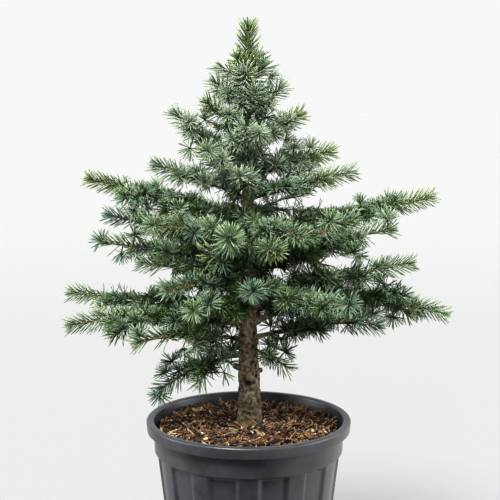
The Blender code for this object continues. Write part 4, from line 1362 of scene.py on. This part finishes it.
def bark_tree():
    sizes = {"Sides": "Int", "Relief": "Float", "Plate": "Float", "Stretch": "Float"}
    tree, given = geometry_tree("bark_round_a_path", sizes)
    path = result_of(tree, "GeometryNodeMeshToCurve", {0: given["Geometry"]})
    ring = {"Resolution": given["Sides"], "Radius": 1.0}
    ring = result_of(tree, "GeometryNodeCurvePrimitiveCircle", ring)
    tube = {"Curve": path, "Profile Curve": ring, "Scale": attribute_of(tree, "thickness"), "Fill Caps": True}
    tube = result_of(tree, "GeometryNodeCurveToMesh", tube)
    grain = calculate_vector(tree, "MULTIPLY", position(tree), combine(tree, 1.0, 1.0, given["Stretch"]))
    wave = noise_at(tree, grain, calculate(tree, "DIVIDE", 1.0, given["Plate"]), *PLATE_NOISE)
    rise = calculate(tree, "MULTIPLY", remap(tree, wave, *PLATE_RISE), given["Relief"])
    normal = result_of(tree, "GeometryNodeInputNormal")
    end_tree(tree, given, move_points(tree, tube, Offset=scale_vector(tree, normal, rise)))
    return tree


def path_object(name, routes):
    """One mesh of open lines. Each route is a list of points and a list of radii."""
    vertices = []
    edges = []
    thickness = []
    for points, radii in routes:
        first = len(vertices)
        vertices += points
        thickness += radii
        edges += [(first + k, first + k + 1) for k in range(len(points) - 1)]
    return new_object(name, vertices, edges, attributes={"thickness": thickness})


# %% [markdown]
# The cedar's bark is grey-brown and breaks into small flaky plates with dark furrows between them. The
# furrows are painted nearly black where the bumps run low, partly darker bark and partly painted shade. It
# is a little green with algae near the mulch, and turns to a warm tan where the trunk is young; up under the
# crown it is painted paler still, as painted light against the crown's shade. Old twigs are plain dark
# brown, and this year's shoots are yellow-brown and slightly glossy.

# %% Bark and shoots
# Dark, middle and light tones of the old bark at the foot and of the young bark above. The young bark's
# light tones are partly painted light under the crown's shade, and each dark tone is partly painted shade
# in the furrows
OLD_TONES = ("#100B06", "#544A39", "#8A8068")
YOUNG_AND_LIT_TONES = ("#3A2E20", "#B9A686", "#EAE0C8")
TONE_STOPS = (0.37, 0.49, 0.66)
ALGAE = "#5F5F42"
KNOT = "#0C0805"
# Plates of about 6 mm with fine flakes of their own: scale, detail and roughness of their noise, its scale
# along the trunk, then strength and height of their bumps
PLATES = (175.0, 7.0, 0.66)
PLATES_ALONG = 0.80
PLATE_BUMPS = (0.8, 0.0008)
# Short scars that lie across the trunk, 5 to 10 mm wide: the same, and which values of the noise are scars
SCARS = (105.0, 3.0, 0.55)
SCARS_ALONG = 2.0
SCAR_LIMITS = (0.60, 0.70, 0.0, 0.75)
# Heights above the mulch between which the old bark turns to the young bark, with its painted light, and
# up to which algae show
AGE_AND_LIGHT_HEIGHTS = (0.03, 0.20)
ALGAE_HEIGHT = 0.06
ALGAE_SHARE = 0.24
BARK_ROUGHNESS = 0.85
# Scale and detail of the flecks of twigs, about 1.5 mm
TWIG_FLECKS = (600.0, 3.0)


def cedar_bark():
    """Flaky plates with dark furrows that are partly painted shade, short scars, black knots, and painted light
    up the trunk.
    """
    material, tree, shader = new_material("flaky_cedar_bark")
    spot = object_point(tree)
    long_way = result_of(tree, "ShaderNodeMapping", {"Vector": spot, "Scale": (1.0, 1.0, PLATES_ALONG)})
    plates = noise_at(tree, long_way, *PLATES)
    cross_way = result_of(tree, "ShaderNodeMapping", {"Vector": spot, "Scale": (1.0, 1.0, SCARS_ALONG)})
    scars = remap(tree, noise_at(tree, cross_way, *SCARS), *SCAR_LIMITS)
    height = separate(tree, spot)[2]
    # Painted light: up the trunk, in the crown's shade, the bark turns to the paler young tones
    age_and_light = remap(tree, height, *(FOOT_Z + rise for rise in AGE_AND_LIGHT_HEIGHTS))
    algae = remap(tree, height, FOOT_Z, FOOT_Z + ALGAE_HEIGHT, ALGAE_SHARE, 0.0)
    # Each ramp's dark stop falls where the bumps run low: partly darker bark, partly painted shade
    tones = [colour_ramp(tree, plates, *zip(TONE_STOPS, tones)) for tones in (OLD_TONES, YOUNG_AND_LIT_TONES)]
    green = blend_colours(tree, algae, blend_colours(tree, age_and_light, *tones), linear(ALGAE))
    knot = add_node(tree, "ShaderNodeAttribute", attribute_name="knot").outputs["Fac"]
    knotted = blend_colours(tree, calculate(tree, "MAXIMUM", knot, scars), green, linear(KNOT))
    relief = bumps(tree, plates, *PLATE_BUMPS)
    set_inputs(tree, shader, {"Base Color": knotted, "Roughness": BARK_ROUGHNESS})
    set_inputs(tree, shader, {"IOR": BARK_IOR, "Normal": relief})
    return material


def twig_bark(name, dark, light, roughness):
    """Thin bark with fine flecks."""
    return flecked_bark(name, dark, light, roughness, *TWIG_FLECKS)[0]


BARK_TREE = bark_tree()
BARK = cedar_bark()
OLD_TWIG = twig_bark("old_twig_bark", "#2A1E16", "#5B4633", 0.8)
YOUNG_SHOOT = twig_bark("young_shoot_bark", "#66502C", "#AC945E", 0.5)

# %% [markdown]
# ### The trunk
# The trunk is one tube with many sides. After the bark is on, three things are pressed into its mesh: the
# lobes of the root flare, the dark eyes left by pruned shoots, and the low swelling round each of them.

# %% The trunk
TRUNK_STEP = 0.0016
TRUNK_TOP = TRUNK_HEIGHT + 0.004
TRUNK_BARK = {"Sides": 84, "Relief": 0.0026, "Plate": 0.0062, "Stretch": 0.90}
CENTRE_SAMPLES = 300
FLARE = 0.0030
FLARE_HEIGHT = 0.016
FLARE_LOBES = 5
FLARE_LOBE_DEPTH = 0.4
FLARE_TURN = 0.7
# The swelling round an eye: its height beside the eye's depth, its radius and spread beside the eye's, and
# how fast the eye itself falls off
SWELLING = 0.55
SWELLING_RADIUS = 1.25
SWELLING_SPREAD = 0.18
EYE_SPREAD = 0.35
# Eyes of pruned shoots: height above the mulch, bearing in degrees, radius and depth
EYES = (
    (0.067, 262, 0.0072, 0.0034),
    (0.036, 250, 0.0030, 0.0016),
    (0.020, 262, 0.0030, 0.0016),
    (0.078, 318, 0.0042, 0.0022),
    (0.100, 292, 0.0036, 0.0020),
    (0.124, 306, 0.0034, 0.0018),
    (0.142, 238, 0.0034, 0.0018),
    (0.092, 60, 0.0034, 0.0016),
    (0.050, 130, 0.0030, 0.0014),
    (0.110, 175, 0.0026, 0.0012),
)


def around(angles, bearing):
    """How far angles lie from a bearing in degrees, from half a turn one way to half a turn the other."""
    return (angles - math.radians(bearing) + math.pi) % (2 * math.pi) - math.pi


def press_features(trunk):
    """Root flare and eyes, moved into the vertices, with an attribute that darkens the eyes."""
    mesh = trunk.data
    spots = np.empty(len(mesh.vertices) * 3, dtype=np.float32)
    mesh.vertices.foreach_get("co", spots)
    spots = spots.reshape(-1, 3).astype(float)
    heights = spots[:, 2] - FOOT_Z
    steps = np.linspace(0, TREE_HEIGHT, CENTRE_SAMPLES)
    middles = np.array([tuple(ring_centre(h)) for h in steps])
    capped = np.clip(heights, 0.0, TREE_HEIGHT)
    out = spots[:, :2] - np.column_stack([np.interp(capped, steps, middles[:, i]) for i in range(2)])
    reach = np.maximum(np.linalg.norm(out, axis=1), TINY)
    unit = out / reach[:, None]
    angles = np.arctan2(unit[:, 1], unit[:, 0])
    lobes = 1 - FLARE_LOBE_DEPTH + FLARE_LOBE_DEPTH * np.cos(FLARE_LOBES * angles + FLARE_TURN)
    shift = FLARE * lobes * np.exp(-np.maximum(heights, 0.0) / FLARE_HEIGHT)
    dark = np.zeros(len(spots))
    for height, bearing, radius, depth in EYES:
        far = np.hypot(around(angles, bearing) * reach, heights - height) / radius
        shift += depth * SWELLING * np.exp(-((far - SWELLING_RADIUS) ** 2) / SWELLING_SPREAD)
        shift -= depth * np.exp(-(far**2) / EYE_SPREAD)
        dark = np.maximum(dark, np.clip(SWELLING_RADIUS - far, 0.0, 1.0))
    spots[:, :2] += unit * shift[:, None]
    mesh.vertices.foreach_set("co", spots.astype(np.float32).ravel())
    attribute = mesh.attributes.new("knot", "FLOAT", "POINT")
    attribute.data.foreach_set("value", dark.astype(np.float32))
    mesh.update()


def make_trunk():
    heights = evenly(0.0, TRUNK_TOP, int(TRUNK_TOP / TRUNK_STEP))
    trunk = path_object("trunk_bark", [([ring_centre(h) for h in heights], [ring_radius(h) for h in heights])])
    grow(trunk, BARK_TREE, BARK, TRUNK_BARK)
    press_features(trunk)
    finish_piece(trunk, "bark", "trunk")


make_trunk()

# %% [markdown]
# A grower cuts shoots off the trunk, and some leave a stub. Each is a short tube of bark. Its foot is sunk
# in the trunk and its end is drawn in.

# %% Stubs of pruned shoots
# Height above the mulch, bearing in degrees, length and radius
STUBS = (
    (0.086, 188, 0.0100, 0.0046),
    (0.080, 355, 0.0060, 0.0036),
    (0.120, 60, 0.0050, 0.0030),
    (0.106, 352, 0.0230, 0.0010),
    (0.098, 5, 0.0180, 0.0009),
)
STUB_RISE = 0.25
# Shares of the trunk's radius, then of the stub's own length beyond it, and the radius at each beside its own
STUB_FEET = (0.5, 0.9, 1.0, 1.15)
STUB_ENDS = (0.8, 1.0)
STUB_RADII = (1.5, 1.35, 1.15, 1.0, 0.95, 0.55)
STUB_BARK = {"Sides": 20, "Relief": 0.0008, "Plate": 0.003, "Stretch": 1.0}


def make_stubs():
    routes = []
    for height, bearing, length, radius in STUBS:
        out = towards(math.radians(bearing), STUB_RISE).normalized()
        foot = trunk_centre(height)
        reach = trunk_radius(height)
        points = [foot + out * reach * share for share in STUB_FEET]
        points += [foot + out * (reach + length * share) for share in STUB_ENDS]
        routes.append((points, [radius * share for share in STUB_RADII]))
    finish_piece(grow(path_object("pruned_stubs", routes), BARK_TREE, BARK, STUB_BARK), "bark")


make_stubs()

# %% [markdown]
# ### Boughs, twigs and shoots
# A bough's bare limb is wrapped in the same bark with less relief. Its root starts inside the trunk, so
# the two grow together. The stems and twigs of each mass are old wood to about two thirds of their length.
# Their last stretch is this year's shoot, thinner, yellow-brown and full of single needles.

# %% Boughs
LIMB_STEP = 0.0022
LIMB_BARK = {"Sides": 18, "Relief": 0.0007, "Plate": 0.0034, "Stretch": 1.0}
# Where a bough's root starts inside the trunk, and how a stem without a limb swells where it leaves the bark
ROOT_SHARE = 0.6
ROOT_SWELLING = 0.45
ROOT_SWELLING_LENGTH = 0.004


def make_boughs():
    routes = []
    for bough in BOUGHS:
        path = paths[bough.name]
        start = trunk_radius(bough.root_height) * ROOT_SHARE
        skin = bark_distance(path, limb_radius(bough, 0.0) if bough.limb else stem_radius(bough))
        end = limb_length(bough, path) + GAP if bough.limb else skin + STEM_STEP * 0.5
        distances = evenly(start, end, max(4, int((end - start) / LIMB_STEP)))
        beyond = [max(0.0, distance - skin) for distance in distances]
        if bough.limb:
            radii = [limb_radius(bough, past / (end - skin)) for past in beyond]
        else:
            swellings = [ROOT_SWELLING * math.exp(-past / ROOT_SWELLING_LENGTH) for past in beyond]
            radii = [stem_radius(bough) * (1 + swelling) for swelling in swellings]
        routes.append(([along(path, distance)[0] for distance in distances], radii))
    boughs = grow(path_object("bough_bark", routes), BARK_TREE, BARK, LIMB_BARK)
    finish_piece(boughs, "bark", *["bough_" + bough.name for bough in BOUGHS if bough.limb])


make_boughs()

# %% Twigs and shoots
TIERS = ("lower", "middle", "upper", "crown")
TIER_OF = {"hem": 0, "low": 0, "mid": 1, "high": 2, "upper": 3, "top": 3, "crest": 3, "leader": 3}
TIER_NODES = {tier: [] for tier in TIERS}
LEADER_YOUNG_SHARE = 0.94
YOUNG_LEAST_TWIG = 0.034
BEND_STEP = 0.0045
SHOOT_STOUT = 1.25
SHOOT_TIP = 0.5
TWIG_BARK = {"Sides": 6, "Relief": 0.00025, "Plate": 0.002, "Stretch": 1.0}


def tier_of(bough_name):
    return TIERS[TIER_OF[bough_name.split("_")[0]]]


for name in [bough.name for bough in BOUGHS] + ["leader"]:
    TIER_NODES[tier_of(name)].append("foliage_" + name)


def young_length(line):
    """How much of a line is this year's shoot. Short twigs have none and end in a spur."""
    total = length_of(line.points)
    if line.bough == "leader":
        return total * LEADER_YOUNG_SHARE
    if line.order in (2, 4) or total < YOUNG_LEAST_TWIG:
        return 0.0
    return min(LONG_SHOOTS.get(line.bough, YOUNG_MOST), YOUNG_SHARE[line.order] * total)


def stretch(line, start, end):
    """Points and radii of part of a line."""
    total = length_of(line.points)
    distances = evenly(start, end, max(2, int((end - start) / BEND_STEP)))
    thinning = line.last_radius - line.first_radius
    radii = [line.first_radius + thinning * distance / total for distance in distances]
    return [along(line.points, distance)[0] for distance in distances], radii


def make_twigs():
    for tier in TIERS:
        old = []
        young = []
        for line in lines:
            if tier_of(line.bough) != tier or line.order == 3:
                continue
            total = length_of(line.points)
            change = total - young_length(line)
            old.append(stretch(line, 0.0, change))
            if change < total:
                points, radii = stretch(line, change, total)
                radii = [radius * SHOOT_STOUT for radius in radii]
                radii[-1] *= SHOOT_TIP
                young.append((points, radii))
        for name, routes, material in (("twigs_", old, OLD_TWIG), ("shoots_", young, YOUNG_SHOOT)):
            piece = grow(path_object(name + tier, routes), BARK_TREE, material, TWIG_BARK)
            finish_piece(piece, "bark", *TIER_NODES[tier])


make_twigs()

# %% [markdown]
# ## Needles
# A cedar bears its needles in two ways. Old wood has short spurs, each with a burst of twenty to thirty
# needles. This year's shoots have single needles all round, which lean forward, and a tuft at the tip.
# Both are worked out as arrays: where each needle starts, where it points and how long it is. A needle
# that would leave its bough's space is dropped. Each burst has one tint, from deep green inside the crown
# to pale blue-green outside, partly the needles' own wax and partly painted shade and painted light, and
# some shoots are a fresher green. A share of its needles shows the darker or the paler side.

# %% Where needles grow
rng = np.random.default_rng(SEED)
NEEDLE = 0.0210
NEEDLE_LEAST = 0.86
FOOT_OUT = 0.0006
BURST_NEEDLES = 28
BURST_CORE = math.radians(8)
BURST_SPREAD = math.radians(102)
BURST_TURN_CHANCE = 0.5
VIGOUR_LEAST = 0.88
SPUR_SPACING = 0.0098
SPUR_SHIFT = 0.6
SPUR_LENGTH = 0.0008
SPUR_LEAN = math.radians(62)
SPUR_TURN = 1.5
SPUR_UNDERSIDE = -0.35
UNDERSIDE_KEPT = 0.40
SINGLE_NEEDLE = 0.0272
SINGLE_SPACING = 0.00072
CROWN_SPACING = 0.00062
SINGLE_LEAN_FOOT = math.radians(60)
SINGLE_LEAN_TIP = math.radians(36)
TUFT_NEEDLES = 14
TUFT_LEAN = math.radians(30)
# Least share of a lean or a length, and how much chance adds
LEAN_CHANCE = (0.8, 0.4)
SINGLE_LEAN_CHANCE = (0.88, 0.24)
SINGLE_LENGTH_CHANCE = (0.86, 0.14)
TUFT_LENGTH_CHANCE = (0.76, 0.16)
# Shoots that stand out of the crown bear longer needles
SHOOT_VIGOUR = {"mid_front": 1.3, "leader": 1.1}


def many(chance, number):
    """Shares with their least value and what chance adds, as an array."""
    return chance[0] + chance[1] * rng.random(number)


def direction_frames(ways):
    """For each direction, one level direction square to it and one upwards."""
    level = np.cross(np.array([0.0, 0.0, 1.0]), ways)
    flat = np.linalg.norm(level, axis=1) < UPRIGHT
    level[flat] = np.cross(np.array([1.0, 0.0, 0.0]), ways[flat])
    level /= np.linalg.norm(level, axis=1)[:, None]
    return level, np.cross(ways, level)


def places_along(line, distances):
    """Places and directions at some distances along a line, as arrays."""
    points = np.array([tuple(p) for p in line.points])
    steps = np.linalg.norm(np.diff(points, axis=0), axis=1)
    reach = np.concatenate([[0.0], np.cumsum(steps)])
    places = np.column_stack([np.interp(distances, reach, points[:, i]) for i in range(3)])
    which = np.clip(np.searchsorted(reach, distances, side="right") - 1, 0, len(steps) - 1)
    ways = (points[which + 1] - points[which]) / steps[which][:, None]
    return places, ways


def spread_out(ways, lean, turn):
    """Directions that lean away from some directions by an angle, turned round them by another."""
    level, up = direction_frames(ways)
    out = level * np.cos(turn)[:, None] + up * np.sin(turn)[:, None]
    return ways * np.cos(lean)[:, None] + out * np.sin(lean)[:, None]


def bursts(places, ways, number=BURST_NEEDLES, size=1.0):
    """Needles of the spurs at some places: feet, directions, lengths and the number of their spur."""
    spur = np.repeat(np.arange(len(places)), number)
    lean = np.arccos(between(math.cos(BURST_CORE), math.cos(BURST_SPREAD), rng.random(len(spur))))
    turn = np.arange(len(spur)) * GOLDEN + rng.random(len(spur)) * BURST_TURN_CHANCE
    aims = spread_out(ways[spur], lean, turn)
    vigour = size * many((VIGOUR_LEAST, 1 - VIGOUR_LEAST), len(places))
    lengths = NEEDLE * many((NEEDLE_LEAST, 1 - NEEDLE_LEAST), len(spur)) * vigour[spur]
    return places[spur] + aims * FOOT_OUT, aims, lengths, spur


def spurs_on(line, start, end):
    """Places and directions of the short spurs on the old part of a line."""
    total = length_of(line.points)
    distances = np.arange(start, max(start, end), SPUR_SPACING)
    distances = distances + (rng.random(len(distances)) - 0.5) * SPUR_SPACING * SPUR_SHIFT
    distances = np.clip(distances, 0.0, max(end, 0.0))
    places, ways = places_along(line, distances)
    turn = np.arange(len(distances)) * GOLDEN * SPUR_TURN + rng.random() * 2 * math.pi
    aims = spread_out(ways, SPUR_LEAN * many(LEAN_CHANCE, len(distances)), turn)
    kept = (aims[:, 2] > SPUR_UNDERSIDE) | (rng.random(len(aims)) < UNDERSIDE_KEPT)
    thick = line.first_radius + (line.last_radius - line.first_radius) * distances / total
    return (places + aims * (SPUR_LENGTH + thick)[:, None])[kept], aims[kept]


def singles_on(line, start, end):
    """Needles one by one round this year's shoot, and the tuft at its tip."""
    distances = np.arange(start, end, CROWN_SPACING if tier_of(line.bough) == "crown" else SINGLE_SPACING)
    share = (distances - start) / max(end - start, TINY)
    places, ways = places_along(line, distances)
    lean = between(SINGLE_LEAN_FOOT, SINGLE_LEAN_TIP, share) * many(SINGLE_LEAN_CHANCE, len(distances))
    aims = spread_out(ways, lean, np.arange(len(distances)) * GOLDEN)
    long = SINGLE_NEEDLE * SHOOT_VIGOUR.get(line.bough, 1.0)
    lengths = long * many(SINGLE_LENGTH_CHANCE, len(distances))
    tip, way = places_along(line, np.full(TUFT_NEEDLES, end))
    tuft = spread_out(way, TUFT_LEAN * rng.random(TUFT_NEEDLES) ** 0.5, np.arange(TUFT_NEEDLES) * GOLDEN)
    tuft_lengths = NEEDLE * many(TUFT_LENGTH_CHANCE, TUFT_NEEDLES)
    pairs = ((places + aims * FOOT_OUT, tip), (aims, tuft), (lengths, tuft_lengths))
    return [np.concatenate(pair) for pair in pairs]


# %% [markdown]
# Needles are palest where the wax is fresh, outside and at the top, and deep green in the shade inside.
# The tints also paint that light and shade: bursts inside and underneath are painted darker as shade, and
# bursts outside, aiming upwards and at the top of the crown are painted paler as light. A score from place
# and chance picks one of six tints for a whole burst, which keeps a burst together as on the real tree.

# %% Tints of bursts and shoots
TINTS = ("deep", "green", "blue", "pale", "fresh", "teal")
# A needle is darker on one side and has a paler line along the other. Where a share of each spray shows
# either, these tints stand in for the spray's own, in the order above
DARK_SIDE = np.array((0, 0, 1, 5, 1, 0))
PALE_SIDE = np.array((1, 2, 3, 3, 3, 2))
DARK_SIDE_SHARE = 0.22
PALE_SIDE_SHARE = 0.11
# What makes a burst paler: a little at the least, its place outside (fresher wax and painted light), its
# upward aim (painted light), chance and its tier (fresher wax and painted light at the top)
PALE_LEAST = 0.05
OUTSIDE_WAX_AND_LIGHT = 0.46
UPWARD_PAINTED_LIGHT = 0.18
PALE_CHANCE = 0.34
TIER_WAX_AND_LIGHT = {"lower": 0.0, "middle": 0.0, "upper": 0.09, "crown": 0.34}
TINT_STEPS = (0.36, 0.59, 0.90)
TEAL_SHARE = 0.26
# How far out and upward a shoot counts for its wax and painted light, from its least to its most, and how
# often it is a fresher green
SHOOT_OUTSIDE = (0.25, 0.75)
SHOOT_UPWARD = 0.4
FRESH_SHARE = 0.20
FRESH_LEAST = 0.04
# Two shoots that stand out have tints of their own
SHOOT_TINTS = {"mid_front": "blue", "leader": "fresh"}


def tint_of_burst(out_share, upward, tier):
    """Numbers of tints for bursts: deeper inside and underneath, paler outside, above and at the top, partly
    painted shade and light.
    """
    # Darker inside, underneath and low in the tree, partly as painted shade; paler outside, upward and at the
    # top, partly as painted light
    score = PALE_LEAST + OUTSIDE_WAX_AND_LIGHT * out_share + UPWARD_PAINTED_LIGHT * upward
    tints = np.digitize(score + PALE_CHANCE * rng.random(len(out_share)) + TIER_WAX_AND_LIGHT[tier], TINT_STEPS)
    bluish = (rng.random(len(tints)) < TEAL_SHARE) & (tints > 0) & (tints < 3)
    return np.where(bluish, TINTS.index("teal"), tints)


def tint_of_shoot(line, out, tier):
    share = np.array([SHOOT_OUTSIDE[0] + out * SHOOT_OUTSIDE[1]])
    tint = int(tint_of_burst(share, np.array([SHOOT_UPWARD]), tier)[0])
    if rng.random() < FRESH_SHARE * out + FRESH_LEAST:
        tint = TINTS.index("fresh")
    if line.order == 0 and line.bough in SHOOT_TINTS:
        tint = TINTS.index(SHOOT_TINTS[line.bough])
    return tint


# %% [markdown]
# Every line gets spurs on its old part and single needles on its shoot. What would lie outside its space or
# in a window of sky is dropped before a needle is made, so nothing has to be cut afterwards.

# %% Grow the needles of every line
NEEDLE_MARGIN = -0.008
WINDOW_SHARE = 0.7
# Where spurs start and how far before this year's shoot they stop
SPUR_START = 0.0045
SPUR_STOP = 0.003
MARKED_NEEDLES = 44
MARKED_VIGOUR = 1.16
# How upward a marked burst counts, which paints it paler as light
MARKED_UPWARD = 0.3
collected = {(tint, tier): [] for tint in TINTS for tier in TIERS}
spur_heads = {tier: 0 for tier in TIERS}


def collect(tier, tints, feet, aims, lengths, space):
    """Keeps the needles that lie in their space, sorted by tint. Twigs of the trunk have the pot's only."""
    tips = feet + aims * lengths[:, None]
    side = rng.random(len(tints))
    pale = np.where(side > 1 - PALE_SIDE_SHARE, PALE_SIDE[tints], tints)
    tints = np.where(side < DARK_SIDE_SHARE, DARK_SIDE[tints], pale)
    keep = tips[:, 2] > POT_HEIGHT + SPACE_MARGIN
    seen = in_windows(feet + aims * lengths[:, None] * WINDOW_SHARE)
    keep &= ~seen | (rng.random(len(feet)) < WINDOW_NEEDLES)
    if space:
        keep &= space.keeps(tips, NEEDLE_MARGIN, 0.0)
        keep &= space.keeps((feet + tips) / 2, NEEDLE_MARGIN, 0.0)
    for number, tint in enumerate(TINTS):
        chosen = keep & (tints == number)
        if chosen.any():
            collected[(tint, tier)].append((feet[chosen], aims[chosen], lengths[chosen]))


def burst_on_spurs(line, tier, places, ways, centre):
    """Bursts on all spurs of a line, or on the last one only where the line ends at a marked place."""
    if line.order == 4:
        feet, aims, lengths, spur = bursts(places[-1:], ways[-1:], MARKED_NEEDLES, MARKED_VIGOUR)
        tints = tint_of_burst(np.array([1.0]), np.array([MARKED_UPWARD]), tier)
        collect(tier, tints[spur], feet, aims, lengths, None)
        return
    out = np.linalg.norm(places[:, :2] - np.array([centre.x, centre.y]), axis=1) / line.reach
    feet, aims, lengths, spur = bursts(places, ways)
    tints = tint_of_burst(np.clip(out, 0, 1), ways[:, 2], tier)
    collect(tier, tints[spur], feet, aims, lengths, spaces.get(line.bough))


def grow_needles():
    for line in lines:
        tier = tier_of(line.bough)
        total = length_of(line.points)
        change = total - young_length(line)
        places, ways = spurs_on(line, SPUR_START, change - SPUR_STOP)
        if line.order in (2, 4) or (line.order == 1 and change == total):
            ends = places_along(line, np.array([total]))
            places, ways = (np.concatenate(pair) for pair in zip((places, ways), ends))
        centre = trunk_centre(min(TRUNK_HEIGHT, max(0.0, line.points[0].z - FOOT_Z)))
        spur_heads[tier] += len(places)
        if len(places):
            burst_on_spurs(line, tier, places, ways, centre)
        if change < total and line.order != 4:
            feet, aims, lengths = singles_on(line, change, total)
            tip = line.points[-1]
            out = min(1.0, math.hypot(tip.x - centre.x, tip.y - centre.y) / line.reach)
            tints = np.full(len(feet), tint_of_shoot(line, out, tier))
            collect(tier, tints, feet, aims, lengths, spaces.get(line.bough))


grow_needles()
count = sum(len(feet) for parts in collected.values() for feet, _, _ in parts)
print(f"{count} needles on {sum(spur_heads.values())} spurs")

# %% The tree that puts a needle on each point
NEEDLE_WIDTH = 0.00072
# The width at its foot beside that of its middle
NEEDLE_FOOT = 0.8
NEEDLE_SIZES = {"Half Width": NEEDLE_WIDTH / NEEDLE, "Bend": 0.02, "Fullest": 0.56}
ROLL_SEED = 3


def needle_tree():
    """One needle is a slim three-sided spike, fullest in its middle and bent a little."""
    tree, given = geometry_tree("needles_on_points", {name: "Float" for name in NEEDLE_SIZES})
    spike = {"Vertices": 3, "Side Segments": 2, "Radius Top": 0.0, "Radius Bottom": 1.0, "Depth": 1.0}
    spike = result_of(tree, "GeometryNodeMeshCone", spike, fill_type="NGON")
    x, y, z = separate(tree, position(tree))
    # The cone's half-way ring is doubled in width and moved on towards the tip, so the sides run parallel
    middle = calculate(tree, "PINGPONG", z, 0.5)
    half = calculate(tree, "MULTIPLY", remap(tree, middle, 0.0, 0.5, NEEDLE_FOOT, 2.0), given["Half Width"])
    height = calculate(tree, "ADD", z, calculate(tree, "MULTIPLY", middle, given["Fullest"]))
    bent = calculate(tree, "MULTIPLY", middle, given["Bend"])
    moved = calculate(tree, "ADD", calculate(tree, "MULTIPLY", x, half), bent)
    spot = combine(tree, moved, calculate(tree, "MULTIPLY", y, half), height)
    needle = move_points(tree, spike, Position=spot)
    aim = {"Vector": attribute_of(tree, "aim", "FLOAT_VECTOR")}
    turned = result_of(tree, "FunctionNodeAlignRotationToVector", aim, axis="Z")
    spin = {2: 0.0, 3: 2 * math.pi, "Seed": ROLL_SEED}
    spin = add_node(tree, "FunctionNodeRandomValue", spin, data_type="FLOAT").outputs[1]
    roll = {"Axis": (0.0, 0.0, 1.0), "Angle": spin}
    roll = result_of(tree, "FunctionNodeAxisAngleToRotation", roll)
    rolled = add_node(tree, "FunctionNodeRotateRotation", {0: turned, 1: roll}, rotation_space="LOCAL")
    length = attribute_of(tree, "length")
    size = combine(tree, length, length, length)
    end_tree(tree, given, copies(tree, given["Geometry"], needle, Rotation=rolled.outputs[0], Scale=size))
    return tree


# %% [markdown]
# A needle is stiff and smooth with a thin wax bloom, which makes it look blue-green and takes the gloss
# off. Each tint is one plain colour: a burst has its own, which holds some painted light and shade from its
# place in the crown, with a few needles a step darker or paler, and the light does the rest.

# %% Waxy needles
NEEDLE_ROUGHNESS = 0.6
WAX_IOR = 1.36
NEEDLE_COLOURS = {
    "deep": "#2E4219",
    "green": "#5F7844",
    "blue": "#90A586",
    "pale": "#AFBDA3",
    "fresh": "#8F9F6C",
    "teal": "#7B957F",
}


def waxy_needle(tint):
    """Plain and rather dull, with a low index that keeps the highlights faint."""
    material, tree, shader = new_material("waxy_needle_" + tint)
    colour = linear(NEEDLE_COLOURS[tint])
    set_inputs(tree, shader, {"Base Color": colour, "Roughness": NEEDLE_ROUGHNESS, "IOR": WAX_IOR})
    return material


# %% Put the needles on


def put_needles_on():
    tree = needle_tree()
    for tint in TINTS:
        material = waxy_needle(tint)
        for tier in TIERS:
            parts = collected[(tint, tier)]
            if not parts:
                continue
            feet, aims, lengths = (np.concatenate(columns) for columns in zip(*parts))
            piece = new_object(f"needles_{tint}_{tier}", feet, attributes={"aim": aims, "length": lengths})
            grow(piece, tree, material, NEEDLE_SIZES)
            finish_piece(piece, "needles", *TIER_NODES[tier])


put_needles_on()

# %% [markdown]
# ## Finish

# %% Sizes and the last line
total = sum(triangles(item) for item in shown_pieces() if item.type == "MESH")
print(f"{total} triangles in all")
